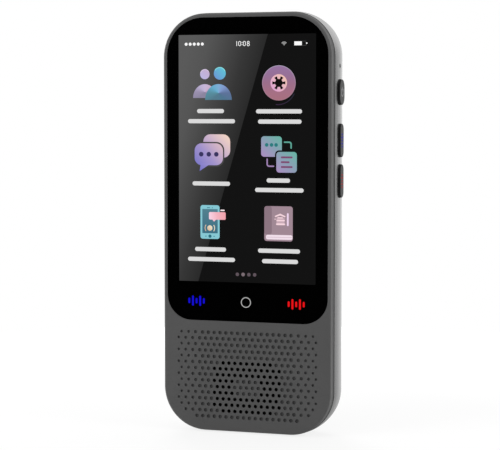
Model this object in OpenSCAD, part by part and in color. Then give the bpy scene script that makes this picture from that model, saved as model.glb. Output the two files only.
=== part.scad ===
// Handheld voice translator, standing on its lower end.
// Every piece is drawn lying on its back: x across the width, y up the length from the lower end,
// z out of the front face, with z = 0 half way through the thickness. upright() then stands it up,
// so that the finished part has +Z along its length and its front face looks along -Y.

/* [Case] */
// Width across the crown of the middle frame
case_w = 63.6; // [62.6:0.1:66]
// Length from end to end
case_l = 150.2; // [149.6:0.1:156]
// Thickness from the front face to the rear face
case_t = 15.2; // [14.6:0.1:16]
// Corner radius of the middle frame, seen from the front
corner_r = 15.9; // [15.4:0.1:16.6]
// Radius of the frame's rounded side, seen in section
crown_r = 32; // [28:1:36]
// Width of the flat band along the middle of the frame's side
crown_flat = 1; // [0.8:0.1:1.8]
// Wall of the middle frame
frame_wall = 2.2; // [2:0.1:2.4]
// Thickness of the frame's web, which parts the display from the electronics
web_t = 1; // [0.8:0.1:1.2]

/* [Covers] */
// Thickness of the front cover
front_cover_t = 1.6; // [1.5:0.1:1.8]
// Thickness of the rear cover
rear_cover_t = 1.6; // [1.5:0.1:1.8]
// Height of the front cover's rim, which reaches down over the frame's tongue
front_rim_h = 3; // [2.8:0.1:3.2]
// Wall of the tongue that the frame puts inside that rim
tongue_wall = 0.7; // [0.6:0.05:0.8]
// Set-back of the front cover's side from the frame's crown
front_inset = 0.4; // [0.3:0.05:0.6]
// Set-back of the rear cover's side from the frame's crown
rear_inset = 0.7; // [0.5:0.05:0.9]
// Rounding of the front cover's outer edge
front_edge_r = 0.9; // [0.5:0.1:1.2]
// Rounding of the rear cover's outer edge
rear_edge_r = 1.5; // [0.8:0.1:1.5]
// Shadow gap between each cover and the frame
seam_gap = 0.2; // [0.1:0.05:0.3]
// Thickness of the lip that locates each cover inside the frame
lip_t = 0.9; // [0.7:0.1:1]
// Height of that lip
lip_h = 1.1; // [0.8:0.1:1.2]
// Clearance between pieces that are put into each other
fit_gap = 0.1; // [0.05:0.01:0.15]

/* [Glass and display] */
// Distance from the frame's crown to the side edge of the glass
glass_side = 1.95; // [1.9:0.05:2.2]
// Distance from the top end to the upper edge of the glass
glass_top = 2; // [1.9:0.05:2.3]
// Height of the lower edge of the glass above the lower end
glass_foot = 40.3; // [39.8:0.1:42]
// Radius of the upper corners of the glass
glass_top_r = 13.5; // [13:0.1:14]
// Radius of the lower corners of the glass
glass_foot_r = 8.9; // [7:0.1:10]
// Thickness of the glass
glass_t = 0.8; // [0.7:0.05:0.85]
// Depth of the glass below the front face
glass_sink = 0.05; // [0:0.01:0.08]
// Thickness of the adhesive under the rim of the glass
adhesive_t = 0.15; // [0.1:0.01:0.2]
// Width of the adhesive ring
adhesive_w = 1.3; // [1:0.1:1.4]
// Distance from the frame's crown to the side edge of the lit area
display_side = 6.33; // [6.2:0.01:7.8]
// Distance from the upper end to the upper edge of the lit area
display_top = 8.05; // [7.55:0.05:11.95]
// Height of the lit area's lower edge above the lower end
display_foot = 54.25; // [53.8:0.05:54.6]
// Dark border of the display panel beside and above the lit area
display_border = 1.8; // [1.4:0.1:1.9]
// Dark border of the display panel below the lit area
display_chin = 6; // [5:0.1:6.4]
// Radius of the upper corners of the display panel
panel_corner_r = 6; // [5:0.1:6.2]
// Thickness of the display panel
panel_t = 1.1; // [0.9:0.05:1.2]
// Thickness of the backlight
backlight_t = 1.1; // [0.9:0.05:1.2]
// Thickness of the foam tape behind the backlight
display_tape_t = 0.35; // [0.3:0.05:0.45]

/* [Grille] */
// Number of rows of holes
grille_rows = 15; // [11:2:15]
// Distance between rows
row_pitch = 2.167; // [2.1:0.01:2.2]
// Distance between the holes of a row
hole_pitch = 2.21; // [2.1:0.01:2.3]
// Diameter of the holes
hole_d = 1.3; // [0.9:0.05:1.4]
// Evenly spaced holes on each side of the centre line
holes_each_side = 8; // [6:1:8]
// Distance between the holes of the three outer columns
outer_pitch = 2.68; // [2.4:0.02:2.75]
// Diameter that each outer column loses to the one before it
outer_taper = 0.12; // [0.05:0.01:0.15]
// Depth of the blind holes around the speaker
blind_depth = 0.4; // [0.3:0.05:0.9]
// Height of the speaker's centre above the lower end
speaker_y = 16.48; // [16.4:0.02:17]
// Width of the field of open holes
sound_w = 25.4; // [24.6:0.1:26.2]
// Height of the field of open holes
sound_h = 18.4; // [17.6:0.1:19]
// Corner radius of that field
sound_r = 4.5; // [4:0.1:5]
// Width of the closed middle of the field
hub_w = 10.4; // [9:0.1:12]
// Height of the closed middle of the field
hub_h = 6.4; // [5:0.1:8]

/* [Keys] */
// Distance from the upper end to the power key's centre
power_key_drop = 28.4; // [27.8:0.1:28.8]
// Length of the power key
power_key_l = 9; // [8:0.1:9.6]
// Width of the power key
power_key_w = 6.2; // [5.8:0.1:7]
// Distance from the upper end to the upper talk key's centre
blue_key_drop = 45.4; // [44.8:0.1:45.8]
// Distance from the upper end to the lower talk key's centre
red_key_drop = 59.7; // [59.2:0.1:60.2]
// Length of a talk key
talk_key_l = 11.8; // [10:0.1:12]
// Width of a talk key
talk_key_w = 4.3; // [4:0.1:5.8]
// Height that the keys stand out of the frame
key_proud = 0.8; // [0.7:0.05:1.3]
// Set-back of the keys behind the middle of the thickness
key_set_back = 1.4; // [1:0.1:1.6]
// Rounding of a key's outer edge
key_edge_r = 0.25; // [0.2:0.05:0.5]
// Travel of a key
key_travel = 0.4; // [0.3:0.05:0.5]
// Thickness of the flange that keeps a key in
key_flange_t = 0.7; // [0.5:0.05:0.8]
// Width of that flange beyond the key
key_flange_w = 0.7; // [0.5:0.05:0.8]
// Play around a key in its slot
key_gap = 0.12; // [0.08:0.01:0.2]
// Diameter of a switch plunger
plunger_d = 1.6; // [1.2:0.1:1.8]
// Thickness of a switch behind a key
switch_t = 1.5; // [1.4:0.05:1.6]
// Thickness of the key board
key_board_t = 0.6; // [0.5:0.05:0.7]
// Thickness of the rail that backs the key board
key_rail_t = 0.8; // [0.7:0.05:0.9]

/* [Socket and microphones] */
// Width of the socket's shell
socket_w = 8.94; // [8.94:0.01:9]
// Height of the socket's shell
socket_h = 3.16; // [3.16:0.01:3.2]
// Sheet thickness of the socket's shell
socket_sheet = 0.3; // [0.25:0.01:0.35]
// Depth of the socket's shell
socket_l = 6.8; // [6.5:0.1:7]
// Set-back of the socket's mouth from the end face
socket_sink = 0.3; // [0.1:0.05:0.6]
// Thickness of the socket's tongue
tongue_t = 0.7; // [0.6:0.01:0.75]
// Width of the socket's tongue
tongue_w = 6.69; // [6.5:0.01:6.8]
// Distance from the upper end to the side microphone's hole
side_mic_drop = 19.2; // [18.6:0.1:19.6]
// Set-back of the side microphone's hole behind the middle of the thickness
side_mic_set_back = 1.1; // [0.6:0.1:1.2]
// Distance from the frame's crown to the top microphone's hole
top_mic_side = 11.7; // [11.2:0.1:12.8]
// Diameter of the microphone holes
mic_hole_d = 1.6; // [1.2:0.1:1.7]
// Thickness of a microphone
mic_t = 1; // [0.9:0.05:1.1]

/* [Electronics] */
// Thickness of the circuit boards
board_t = 0.8; // [0.7:0.05:1]
// Distance from the upper end to the main board's lower edge
board_drop = 60.2; // [59.2:0.1:60.2]
// Length of the lower board
sub_board_l = 20; // [18:0.5:21]
// Distance from the frame's inner wall to the side of the lower board
sub_board_side = 9.6; // [8.6:0.1:11.6]
// Distance from the frame's inner wall to the side of the battery cell
battery_side = 6.1; // [5.6:0.1:8.6]
// Distance from the upper edge of the battery cell to the main board
battery_head_gap = 6; // [5.5:0.1:11]
// Thickness of the battery cell
battery_t = 7; // [6:0.1:7.3]
// Height of the battery's lower edge above the lower end
battery_foot = 33; // [32.6:0.1:33.2]
// Thickness of the battery's adhesive tape
battery_tape_t = 0.15; // [0.1:0.01:0.2]
// Thickness of the flexible circuits
flex_t = 0.15; // [0.1:0.01:0.18]
// Height of the shield cans
shield_h = 1.8; // [1.5:0.1:2]
// Sheet thickness of the shield cans
shield_sheet = 0.2; // [0.15:0.01:0.25]
// Diameter of the thread of the screws
screw_d = 1.4; // [1.2:0.1:1.6]
// Diameter of the heads of the screws
screw_head_d = 2.6; // [2.4:0.1:2.8]
// Height of the heads of the screws
screw_head_h = 0.6; // [0.5:0.05:0.7]
// Diameter of the bosses that take the case screws
boss_d = 4.4; // [4:0.1:4.6]

/* [Hidden] */

$fn = 64;
long_arc_fn = 128; // segments of the frame's long arcs
small_hole_fn = 24; // segments of the grille's holes
cut = 1; // how far a cut runs past the face that it opens

// Planes through the thickness, from front to rear
front_z = case_t / 2;
front_inner_z = front_z - front_cover_t;
front_rim_z = front_z - front_rim_h;
frame_front_z = front_rim_z - seam_gap;
tongue_z = front_inner_z - seam_gap;
rear_z = -case_t / 2;
rear_inner_z = rear_z + rear_cover_t;
frame_rear_z = rear_inner_z + seam_gap;
glass_z = front_z - glass_sink;
panel_z = glass_z - glass_t;
ledge_z = panel_z - adhesive_t;
backlight_z = panel_z - panel_t;
display_tape_z = backlight_z - backlight_t;
web_z = display_tape_z - display_tape_t;
web_rear_z = web_z - web_t;
board_z = -socket_h / 2;
board_rear_z = board_z - board_t;

// Inside of the frame, seen from the front
cavity_w = case_w - 2 * frame_wall;
cavity_r = corner_r - frame_wall;
wall_x = cavity_w / 2;

// Places that are counted from the upper end or from the sides
power_key_y = case_l - power_key_drop;
blue_key_y = case_l - blue_key_drop;
red_key_y = case_l - red_key_drop;
side_mic_y = case_l - side_mic_drop;
top_mic_x = case_w / 2 - top_mic_side;
board_foot = case_l - board_drop;
sub_board_w = cavity_w - 2 * sub_board_side;
battery_w = cavity_w - 2 * battery_side;
battery_l = board_foot - battery_head_gap - battery_foot;

// Display
display_w = case_w - 2 * display_side;
display_h = case_l - display_top - display_foot;
panel_w = display_w + 2 * display_border;
panel_foot = display_foot - display_chin;
panel_top = display_foot + display_h + display_border;
window_gap = 0.35;
window_foot_gap = 2;
window_foot_r = 1;
panel_foot_r = 0.5;
backlight_rise = 2.4;
backlight_foot = panel_foot + backlight_rise;
display_tape_w = 3;

// Speaker, seated behind the front cover
mesh_t = 0.15;
gasket_t = 0.6;
gasket_w = 1.4;
mesh_z = front_inner_z - mesh_t;
gasket_z = mesh_z - gasket_t;
basket_w = sound_w + 2 * gasket_w;
basket_h = sound_h + 2 * gasket_w;
basket_r = sound_r + gasket_w;
basket_t = 2;
basket_rear_z = gasket_z - basket_t;
magnet_w = 15;
magnet_h = 9;
magnet_r = 4.4;
magnet_t = 1.7;
basket_floor = 0.5;
cone_seat = 0.5;
cone_t = 0.25;
cone_drop = 0.2;
cone_z = gasket_z - cone_t - cone_drop;
coil_w = 13;
coil_h = 8;
coil_r = 3.9;
coil_t = 0.4;
contact_d = 1.6;
pocket_t = 0.8;
pocket_h = 2.4;
contact_edge = 2;
yoke_rim = 1;
web_gap = 1.6;
web_foot = speaker_y + basket_h / 2 + web_gap;

// Keys, from the frame's inner wall inwards
key_line_z = -key_set_back;
key_face_x = case_w / 2 + key_proud;
flange_x = wall_x - fit_gap;
flange_inner_x = flange_x - key_flange_t;
switch_gap = 0.15;
switch_x = flange_inner_x - key_travel - switch_gap;
switch_rear_x = switch_x - switch_t;
key_board_x = switch_rear_x - key_board_t;
key_rail_x = key_board_x - key_rail_t;
plunger_in = 0.5;
switch_bore = plunger_in + key_travel + switch_gap;
key_board_foot = 1;
key_board_head = 3;
key_board_y0 = red_key_y - talk_key_l / 2 - key_board_foot;
key_board_y1 = side_mic_y + key_board_head;
key_board_half = 2.9;
switch_l = 5;
switch_w = 2 * (key_board_half - key_set_back);
mic_l = 3;
mic_w = 2.6;
boot_wall = 0.9;
nozzle_d = mic_hole_d - 2 * fit_gap;
nozzle_t = 0.15;
nozzle_sink = 0.05;

key_notch_gap = 0.5;

// Main board
board_edge_gap = 0.8;
rail_gap = 0.35;
board_right_x = key_rail_x - rail_gap;
board_top = case_l - frame_wall - board_edge_gap;
board_left_x = -(wall_x - board_edge_gap);
standoff_d = 3.4;
thread_fit = 0.04;
screw_play = 0.3;
pilot_d = screw_d + thread_fit; // threads are left plain, so a screw fills its hole
screw_clear_d = screw_d + screw_play;
board_screw_l = 3;
mic_set_back = 3.4;
top_mic_y = board_top - mic_set_back;
screw_edge = 2.6;
mic_screw_gap = 7.1;
left_screw_rise = 12;
right_screw_rise = 4;
top_screw_x = top_mic_x - mic_screw_gap;
top_screw_y = board_top - screw_edge;
board_screw_places = [
    [-top_screw_x, top_screw_y], [top_screw_x, top_screw_y],
    [board_left_x + screw_edge, board_foot + left_screw_rise],
    [board_right_x - screw_edge, board_foot + right_screw_rise]];
sub_board_gap = 0.3;
sub_screw_inset = 5;
sub_board_y = frame_wall + sub_board_gap;
sub_screw_x = sub_board_w / 2 - sub_screw_inset;
sub_screw_y = sub_board_y + screw_edge;
sub_screw_places = [[-sub_screw_x, sub_screw_y], [sub_screw_x, sub_screw_y]];

// Screws that close the case, one in each corner of the frame
boss_inset = 0.6;
boss_gap = 0.2;
boss_notch_d = boss_d + 2 * boss_gap;
boss_reach = (cavity_r - boss_d / 2 + boss_inset) / sqrt(2);
case_screw_places = [for (side = [-1, 1], end_y = [corner_r - boss_reach, case_l - corner_r + boss_reach])
    [side * (case_w / 2 - corner_r + boss_reach), end_y]];
case_screw_l = 5;
head_sink = 0.15;
head_seat_z = rear_z + screw_head_h + head_sink;

// Screws that hold the front cover to the web, two above the display and two below it
post_d = 3;
post_edge = 2.2;
post_high_inset = 12.6;
post_y_low = web_foot + post_edge;
post_y_high = (panel_top + case_l - frame_wall) / 2;
post_x_low = wall_x - lip_t - post_edge;
post_x_high = wall_x - post_high_inset;
front_screw_places = [[-post_x_low, post_y_low], [post_x_low, post_y_low],
    [-post_x_high, post_y_high], [post_x_high, post_y_high]];
front_screw_l = 2.2;

// Cross recess of the screws
cross_l = 1.6;
cross_w = 0.32;

// Battery, taped to the web
battery_z = web_rear_z - battery_tape_t;
battery_top = battery_foot + battery_l;
battery_edge_r = 1.5;
tape_w = 12;
tape_inset = 4;
cell_board_l = 3.4;
cell_board_inset = 3;
cell_board_t = 1;
cell_board_rise = 1.5;
cell_board_z = board_z + cell_board_rise;
lead_w = 6;
lead_x = -15;
lead_t = 0.5;
lead_inset = 0.6;
rib_t = 1;
rib_gap = 0.25;
rib_edge = 10;
rib_h = battery_z - battery_t - rib_gap - rear_inner_z;

// Flexible circuits and their connectors
display_flex_w = 22;
touch_flex_w = 6;
touch_flex_x = 17;
display_flex_x = -2;
flex_drop_rise = 7;
flex_drop_y = board_foot + flex_drop_rise;
flex_slot_l = 3;
flex_slot_side = 1;
connector_h = 1;
connector_l = 4;
connector_gap = 0.2;
flex_end_z = board_z + connector_h;
flex_rear_z = board_rear_z - connector_h;
flex_lift = 0.05;
flex_bond_l = 1.2;
link_flex_w = 3.4;
link_gap = 0.8;
link_drop = 6;
connector_edge = 1;
connector_side = 1;
link_connector_edge = 0.4;
link_flex_x = -(battery_w / 2 + link_gap + link_flex_w / 2);
link_flex_y = sub_board_y + sub_board_l - link_drop;
link_connector_y = board_foot + connector_edge;
link_connector_x = link_connector_edge - sub_board_w / 2;
key_flex_w = 8;
key_connector_inset = 9;
key_flex_y = (power_key_y + blue_key_y) / 2;
key_connector_x = board_right_x - key_connector_inset;

key_rail_end_z = flex_rear_z;

// Cans and aerial
main_can_w = 32;
main_can_l = 26;
main_can_inset = 5.8;
main_can_rise = 9;
main_can_x = board_left_x + main_can_inset + main_can_w / 2;
main_can_y = board_foot + main_can_rise + main_can_l / 2;
radio_can_w = 16;
radio_can_l = 12;
radio_can_inset = 12.8;
can_gap = 4;
radio_can_x = board_left_x + radio_can_inset + radio_can_w / 2;
radio_can_y = main_can_y + main_can_l / 2 + can_gap + radio_can_l / 2;
processor_size = [14, 14, 1.2];
memory_size = [9, 12, 1];
radio_size = [7, 7, 0.9];
chip_edge = 2;
chip_gap = 3.5;
processor_x = main_can_x - main_can_w / 2 + chip_edge + processor_size[0] / 2;
memory_x = processor_x + (processor_size[0] + memory_size[0]) / 2 + chip_gap;
antenna_w = 32;
antenna_l = 8;
antenna_left_x = radio_can_x - radio_can_w / 2;
antenna_right_x = antenna_left_x + antenna_w;
antenna_y = radio_can_y;
spring_t = 0.2;
spring_l = 3;
spring_w = 2;

// Socket
tongue_set_back = 0.9;
tongue_base_l = 1.3;

// Grille
outer_columns = 3;
rows_above_speaker = 9;
grille_top = speaker_y + rows_above_speaker * row_pitch;

// ---------------------------------------------------------------- shared shapes

// Stands the part up: length along +Z, front face along -Y
module upright() rotate([90, 0, 0]) children();

// Rectangle with round corners: width, lower and upper edge, radii of the lower and upper corners
module round_rect(w, y0, y1, r0, r1) {
    translate([-w / 2, y0 + r0]) square([w, y1 - y0 - r0 - r1]);
    translate([-w / 2 + r0, y0]) square([w - 2 * r0, r0]);
    translate([-w / 2 + r1, y1 - r1]) square([w - 2 * r1, r1]);
    for (side = [-1, 1]) {
        translate([side * (w / 2 - r0), y0 + r0]) circle(r0);
        translate([side * (w / 2 - r1), y1 - r1]) circle(r1);
    }
}

// The same outline as a plate between two planes
module round_plate(w, y0, y1, r0, r1, z0, z1)
    translate([0, 0, z0]) linear_extrude(z1 - z0) round_rect(w, y0, y1, r0, r1);

// Block between two corners
module block(low, high) translate(low) cube(high - low);

// Outline of the frame's inside, shrunk by gap, or grown where gap is negative
module cavity_outline(gap = 0)
    round_rect(cavity_w - 2 * gap, frame_wall + gap, case_l - frame_wall - gap,
        cavity_r - gap, cavity_r - gap);

// Carries a half section (x outwards from the corner's axis, y through the thickness) round a
// rectangle with corners of radius r, and fills the middle between z0 and z1
module swept_plate(w, l, r, z0, z1) {
    for (turn = [0, 180]) translate([0, l / 2, 0]) rotate([0, 0, turn]) {
        translate([w / 2 - r, l / 2 - r, 0]) rotate_extrude(angle = 90) children();
        translate([w / 2 - r, r - l / 2, 0]) rotate([0, 0, -90]) rotate_extrude(angle = 90) children();
        translate([w / 2 - r, l / 2 - r, 0]) rotate([90, 0, 0]) linear_extrude(l - 2 * r) children();
        translate([r - w / 2, l / 2 - r, 0]) rotate([90, 0, 90]) linear_extrude(w - 2 * r) children();
    }
    block([r - w / 2, r, z0], [w / 2 - r, l - r, z1]);
}

// Half section of a plate with its front edge rounded
module edge_section(r, z0, z1, edge) {
    translate([0, z0]) square([r, z1 - z0 - edge]);
    translate([0, z0]) square([r - edge, z1 - z0]);
    intersection() {
        translate([r - edge, z1 - edge]) circle(edge);
        translate([r - edge, z0]) square([edge, z1 - z0]);
    }
}

// Half section of the frame: a flat band between two long arcs
module crown_section() intersection() {
    translate([0, frame_rear_z]) square([corner_r, frame_front_z - frame_rear_z]);
    union() {
        translate([0, -crown_flat / 2]) square([corner_r, crown_flat]);
        for (side = [-1, 1])
            translate([corner_r - crown_r, side * crown_flat / 2]) circle(crown_r, $fn = long_arc_fn);
    }
}

// Lip that runs round the inside of the frame between two planes
module locating_lip(z0, z1) translate([0, 0, z0]) linear_extrude(z1 - z0) difference() {
    cavity_outline(fit_gap);
    cavity_outline(fit_gap + lip_t);
}

// Pan-head screw with its head's seat at the origin and its thread along +z
module screw(length) {
    difference() {
        translate([0, 0, -screw_head_h]) cylinder(d = screw_head_d, h = screw_head_h);
        for (turn = [0, 90]) rotate([0, 0, turn]) translate([0, 0, -screw_head_h])
            cube([cross_l, cross_w, screw_head_h], center = true);
    }
    cylinder(d = screw_d, h = length);
}

// Round hole along +z at each place of a list
module holes(places, d, z0, z1)
    for (place = places) translate([place[0], place[1], z0]) cylinder(d = d, h = z1 - z0);

// Rounded slab in the plane of the side wall, for a key at height y, from x0 to x1
module key_slab(y, l, w, x0, x1, edge = 0) {
    r = w / 2 - fit_gap;
    translate([x0, y - l / 2, key_line_z]) rotate([0, 90, 0]) {
        if (edge > 0) swept_plate(w, l, r, 0, x1 - x0) edge_section(r, 0, x1 - x0, edge);
        else round_plate(w, 0, l, r, r, 0, x1 - x0);
    }
}

// Frame window for a key
module key_slot(y, l, w)
    key_slab(y, l + 2 * key_gap, w + 2 * key_gap, wall_x - cut, case_w / 2 + cut);

// Key: cap that stands out of the frame, and the flange behind the wall
module key(y, l, w) {
    key_slab(y, l, w, flange_x, key_face_x, key_edge_r);
    key_slab(y, l + 2 * key_flange_w, w + 2 * key_flange_w, flange_inner_x, flange_x);
}

// Plunger between a key and its switch
module plunger(y) translate([switch_x - plunger_in, y, key_line_z]) rotate([0, 90, 0])
    cylinder(d = plunger_d, h = flange_inner_x - switch_x + plunger_in);

// Rows of the grille
function row_is_wide(row) = row % 2 == 1;
function row_start(row) = row_is_wide(row) ? 0 : hole_pitch / 2;
function last_row(row) = row == grille_rows - 1;
function outer_holes(row) = last_row(row) ? 0 : row == grille_rows - 2 ? outer_columns - 1 : outer_columns;
function even_holes(row) = holes_each_side + (row_is_wide(row) || last_row(row) ? 1 : 0);
function hole_x(row, k) = row_start(row) + min(k, even_holes(row) - 1) * hole_pitch
    + max(k - even_holes(row) + 1, 0) * outer_pitch;
function hole_size(row, k) = hole_d - max(k - even_holes(row) + 1, 0) * outer_taper;
function row_y(row) = grille_top - row * row_pitch;
function in_field(x, y) =
    let (far_x = max(x - sound_w / 2 + sound_r, 0), far_y = max(abs(y) - sound_h / 2 + sound_r, 0))
    far_x * far_x + far_y * far_y <= sound_r * sound_r;
function in_hub(x, y) = pow(2 * x / hub_w, 2) + pow(2 * y / hub_h, 2) < 1;
function is_open(row, k) = let (x = hole_x(row, k), y = row_y(row) - speaker_y)
    in_field(x, y) && !in_hub(x, y);

// All open holes, or all blind ones, as drills that start beyond the front face
module grille_drills(open) {
    floor_z = front_z - (open ? front_cover_t + cut : blind_depth);
    for (row = [0 : grille_rows - 1], k = [0 : even_holes(row) + outer_holes(row) - 1])
        if (is_open(row, k) == open) for (side = hole_x(row, k) > 0 ? [-1, 1] : [1])
            translate([side * hole_x(row, k), row_y(row), floor_z])
                cylinder(d = hole_size(row, k), h = front_cover_t + 2 * cut, $fn = small_hole_fn);
}

// Flexible circuit, w wide: bonded at bond_y under the plane bond_z, it runs behind the backlight,
// drops through the slot in the web and ends on its connector
module folded_flex(x, w, bond_y, bond_z) {
    low_x = x - w / 2;
    high_x = x + w / 2;
    run_z = web_z + flex_lift;
    block([low_x, bond_y, bond_z - flex_t], [high_x, bond_y + flex_bond_l, bond_z]);
    block([low_x, bond_y, run_z], [high_x, bond_y + flex_t, bond_z]);
    block([low_x, bond_y, run_z], [high_x, flex_drop_y, run_z + flex_t]);
    block([low_x, flex_drop_y - flex_t, flex_end_z], [high_x, flex_drop_y, run_z + flex_t]);
    block([low_x, flex_drop_y - flex_t, flex_end_z],
        [high_x, flex_drop_y + connector_l, flex_end_z + flex_t]);
}

// ---------------------------------------------------------------- covers and frame

module front_cover() color("#545454") upright() difference() {
    union() {
        r = corner_r - front_inset;
        difference() {
            translate([0, front_inset, 0])
                swept_plate(case_w - 2 * front_inset, case_l - 2 * front_inset, r, front_rim_z, front_z)
                    edge_section(r, front_rim_z, front_z, front_edge_r);
            translate([0, 0, front_rim_z - cut]) linear_extrude(front_inner_z - front_rim_z + cut)
                cavity_outline(-tongue_wall - fit_gap);
        }
        locating_lip(front_inner_z - lip_h, front_inner_z);
        // Walls of the speaker's pocket
        translate([0, 0, front_inner_z - pocket_h]) linear_extrude(pocket_h) difference() {
            speaker_outline(fit_gap + pocket_t);
            speaker_outline(fit_gap);
        }
        holes(front_screw_places, post_d, web_z, front_inner_z);
    }
    // Seat of the glass, and the window behind it for the display
    round_plate(case_w - 2 * glass_side + 2 * fit_gap, glass_foot - fit_gap, case_l - glass_top + fit_gap,
        glass_foot_r + fit_gap, glass_top_r + fit_gap, ledge_z, front_z + cut);
    round_plate(panel_w + 2 * window_gap, panel_foot - window_foot_gap, panel_top + window_gap,
        window_foot_r, panel_corner_r + window_gap, front_inner_z - cut, front_z);
    grille_drills(true);
    grille_drills(false);
    holes(front_screw_places, pilot_d, web_z - cut, web_z + front_screw_l);
}

module speaker_outline(grow) round_rect(basket_w + 2 * grow, speaker_y - basket_h / 2 - grow,
    speaker_y + basket_h / 2 + grow, basket_r + grow, basket_r + grow);

module rear_cover() color("#474748") upright() difference() {
    union() {
        r = corner_r - rear_inset;
        translate([0, rear_inset, 0]) mirror([0, 0, 1])
            swept_plate(case_w - 2 * rear_inset, case_l - 2 * rear_inset, r, -rear_inner_z, -rear_z)
                edge_section(r, -rear_inner_z, -rear_z, rear_edge_r);
        difference() {
            locating_lip(rear_inner_z, rear_inner_z + lip_h);
            holes(case_screw_places, boss_notch_d, rear_inner_z - cut, rear_inner_z + lip_h + cut);
            // Notch beside the keys
            block([key_rail_x, key_board_y0, rear_inner_z - cut], [wall_x, key_board_y1, tongue_z]);
        }
        // Ribs that steady the battery
        for (y = [battery_foot + rib_edge : (battery_l - 2 * rib_edge) / 2 : battery_top - rib_edge])
            block([-battery_w / 2, y - rib_t / 2, rear_inner_z],
                [battery_w / 2, y + rib_t / 2, rear_inner_z + rib_h]);
    }
    holes(case_screw_places, screw_clear_d, rear_z - cut, rear_inner_z + cut);
    holes(case_screw_places, screw_head_d + 2 * fit_gap, rear_z - cut, head_seat_z);
}

module middle_frame() color("#c9cacc") upright() difference() {
    union() {
        difference() {
            union() {
                swept_plate(case_w, case_l, corner_r, frame_rear_z, frame_front_z) crown_section();
                // Tongue inside the front cover's rim
                linear_extrude(tongue_z) cavity_outline(-tongue_wall);
            }
            translate([0, 0, frame_rear_z - cut]) linear_extrude(case_t) cavity_outline();
        }
        // Web with the notch for the keys
        translate([0, 0, web_rear_z]) linear_extrude(web_t) difference() {
            intersection() {
                cavity_outline();
                translate([-case_w / 2, web_foot]) square([case_w, case_l]);
            }
            translate([key_board_x, key_board_y0 - key_notch_gap])
                square([frame_wall + wall_x, key_board_y1 - key_board_y0 + 2 * key_notch_gap]);
        }
        // Rail behind the key board
        block([key_rail_x, key_board_y0, key_rail_end_z], [key_board_x, key_board_y1, web_rear_z]);
        // Bosses of the case screws
        intersection() {
            holes(case_screw_places, boss_d, rear_inner_z, web_rear_z + web_t);
            translate([0, 0, rear_inner_z]) linear_extrude(case_t) cavity_outline(-tongue_wall / 2);
        }
        holes(board_screw_places, standoff_d, board_z, web_rear_z);
        // Lugs of the lower board, rooted in the end wall
        for (place = sub_screw_places) {
            translate([place[0], place[1], board_z]) cylinder(d = standoff_d, h = socket_h);
            block([place[0] - standoff_d / 2, frame_wall / 2, board_z],
                [place[0] + standoff_d / 2, place[1], board_z + socket_h]);
        }
    }
    key_slot(power_key_y, power_key_l, power_key_w);
    key_slot(blue_key_y, talk_key_l, talk_key_w);
    key_slot(red_key_y, talk_key_l, talk_key_w);
    translate([wall_x - cut, side_mic_y, -side_mic_set_back]) rotate([0, 90, 0])
        cylinder(d = mic_hole_d, h = frame_wall + 2 * cut);
    translate([top_mic_x, case_l + cut, 0]) rotate([90, 0, 0])
        cylinder(d = mic_hole_d, h = frame_wall + corner_r / 2);
    // Window of the socket
    translate([0, frame_wall + cut, 0]) rotate([90, 0, 0]) linear_extrude(frame_wall + 2 * cut)
        round_rect(socket_w + 2 * fit_gap, -socket_h / 2 - fit_gap, socket_h / 2 + fit_gap,
            socket_h / 2 - fit_gap, socket_h / 2 - fit_gap);
    // Slot where the display's and the touch sensor's circuits pass the web
    block([display_flex_x - display_flex_w / 2 - flex_slot_side, flex_drop_y - flex_slot_l / 2,
        web_rear_z - cut],
        [touch_flex_x + touch_flex_w / 2 + flex_slot_side, flex_drop_y + flex_slot_l / 2, web_z + cut]);
    holes(case_screw_places, pilot_d, rear_inner_z - cut, head_seat_z + case_screw_l);
    holes(board_screw_places, pilot_d, board_z - cut, board_z + board_screw_l - board_t);
    holes(sub_screw_places, pilot_d, board_z - cut, board_z + board_screw_l - board_t);
    holes(front_screw_places, screw_clear_d, web_rear_z - cut, web_z + cut);
}

module front_screws() color("#8a8c90") upright()
    for (place = front_screw_places) translate([place[0], place[1], web_rear_z]) screw(front_screw_l);

module case_screws() color("#3a3b3d") upright() for (place = case_screw_places)
    translate([place[0], place[1], head_seat_z]) screw(case_screw_l);

// ---------------------------------------------------------------- glass and display

module cover_glass() color("#050506") upright() round_plate(case_w - 2 * glass_side, glass_foot,
    case_l - glass_top, glass_foot_r, glass_top_r, panel_z, glass_z);

module glass_adhesive() color("#2a2a2a") upright()
    translate([0, 0, ledge_z]) linear_extrude(adhesive_t) difference() {
        w = case_w - 2 * glass_side - 2 * fit_gap;
        y0 = glass_foot + fit_gap;
        y1 = case_l - glass_top - fit_gap;
        foot_r = glass_foot_r - fit_gap;
        top_r = glass_top_r - fit_gap;
        round_rect(w, y0, y1, foot_r, top_r);
        round_rect(w - 2 * adhesive_w, y0 + adhesive_w, y1 - adhesive_w, foot_r - adhesive_w,
            top_r - adhesive_w);
    }

// Display layer between two planes, from foot up, with the panel's rounded upper corners
module display_layer(foot, z0, z1)
    round_plate(panel_w, foot, panel_top, panel_foot_r, panel_corner_r, z0, z1);

module display_panel() color("#15161a") upright() display_layer(panel_foot, backlight_z, panel_z);

module backlight_unit() color("#d8d8d2") upright()
    display_layer(backlight_foot, display_tape_z, backlight_z);

// Two strips of foam tape between the backlight and the web
module display_tape() color("#202020") upright() for (side = [-1, 1])
    translate([side * (panel_w - display_tape_w) / 2, 0, 0])
        block([-display_tape_w / 2, backlight_foot, web_z],
            [display_tape_w / 2, panel_top - panel_corner_r, display_tape_z]);

module display_flex() color("#8a5a22") upright()
    folded_flex(display_flex_x, display_flex_w, panel_foot + flex_lift, backlight_z);

module touch_flex() color("#8a5a22") upright()
    folded_flex(touch_flex_x, touch_flex_w, panel_foot - flex_bond_l - flex_lift, panel_z);

// ---------------------------------------------------------------- keys

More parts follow.
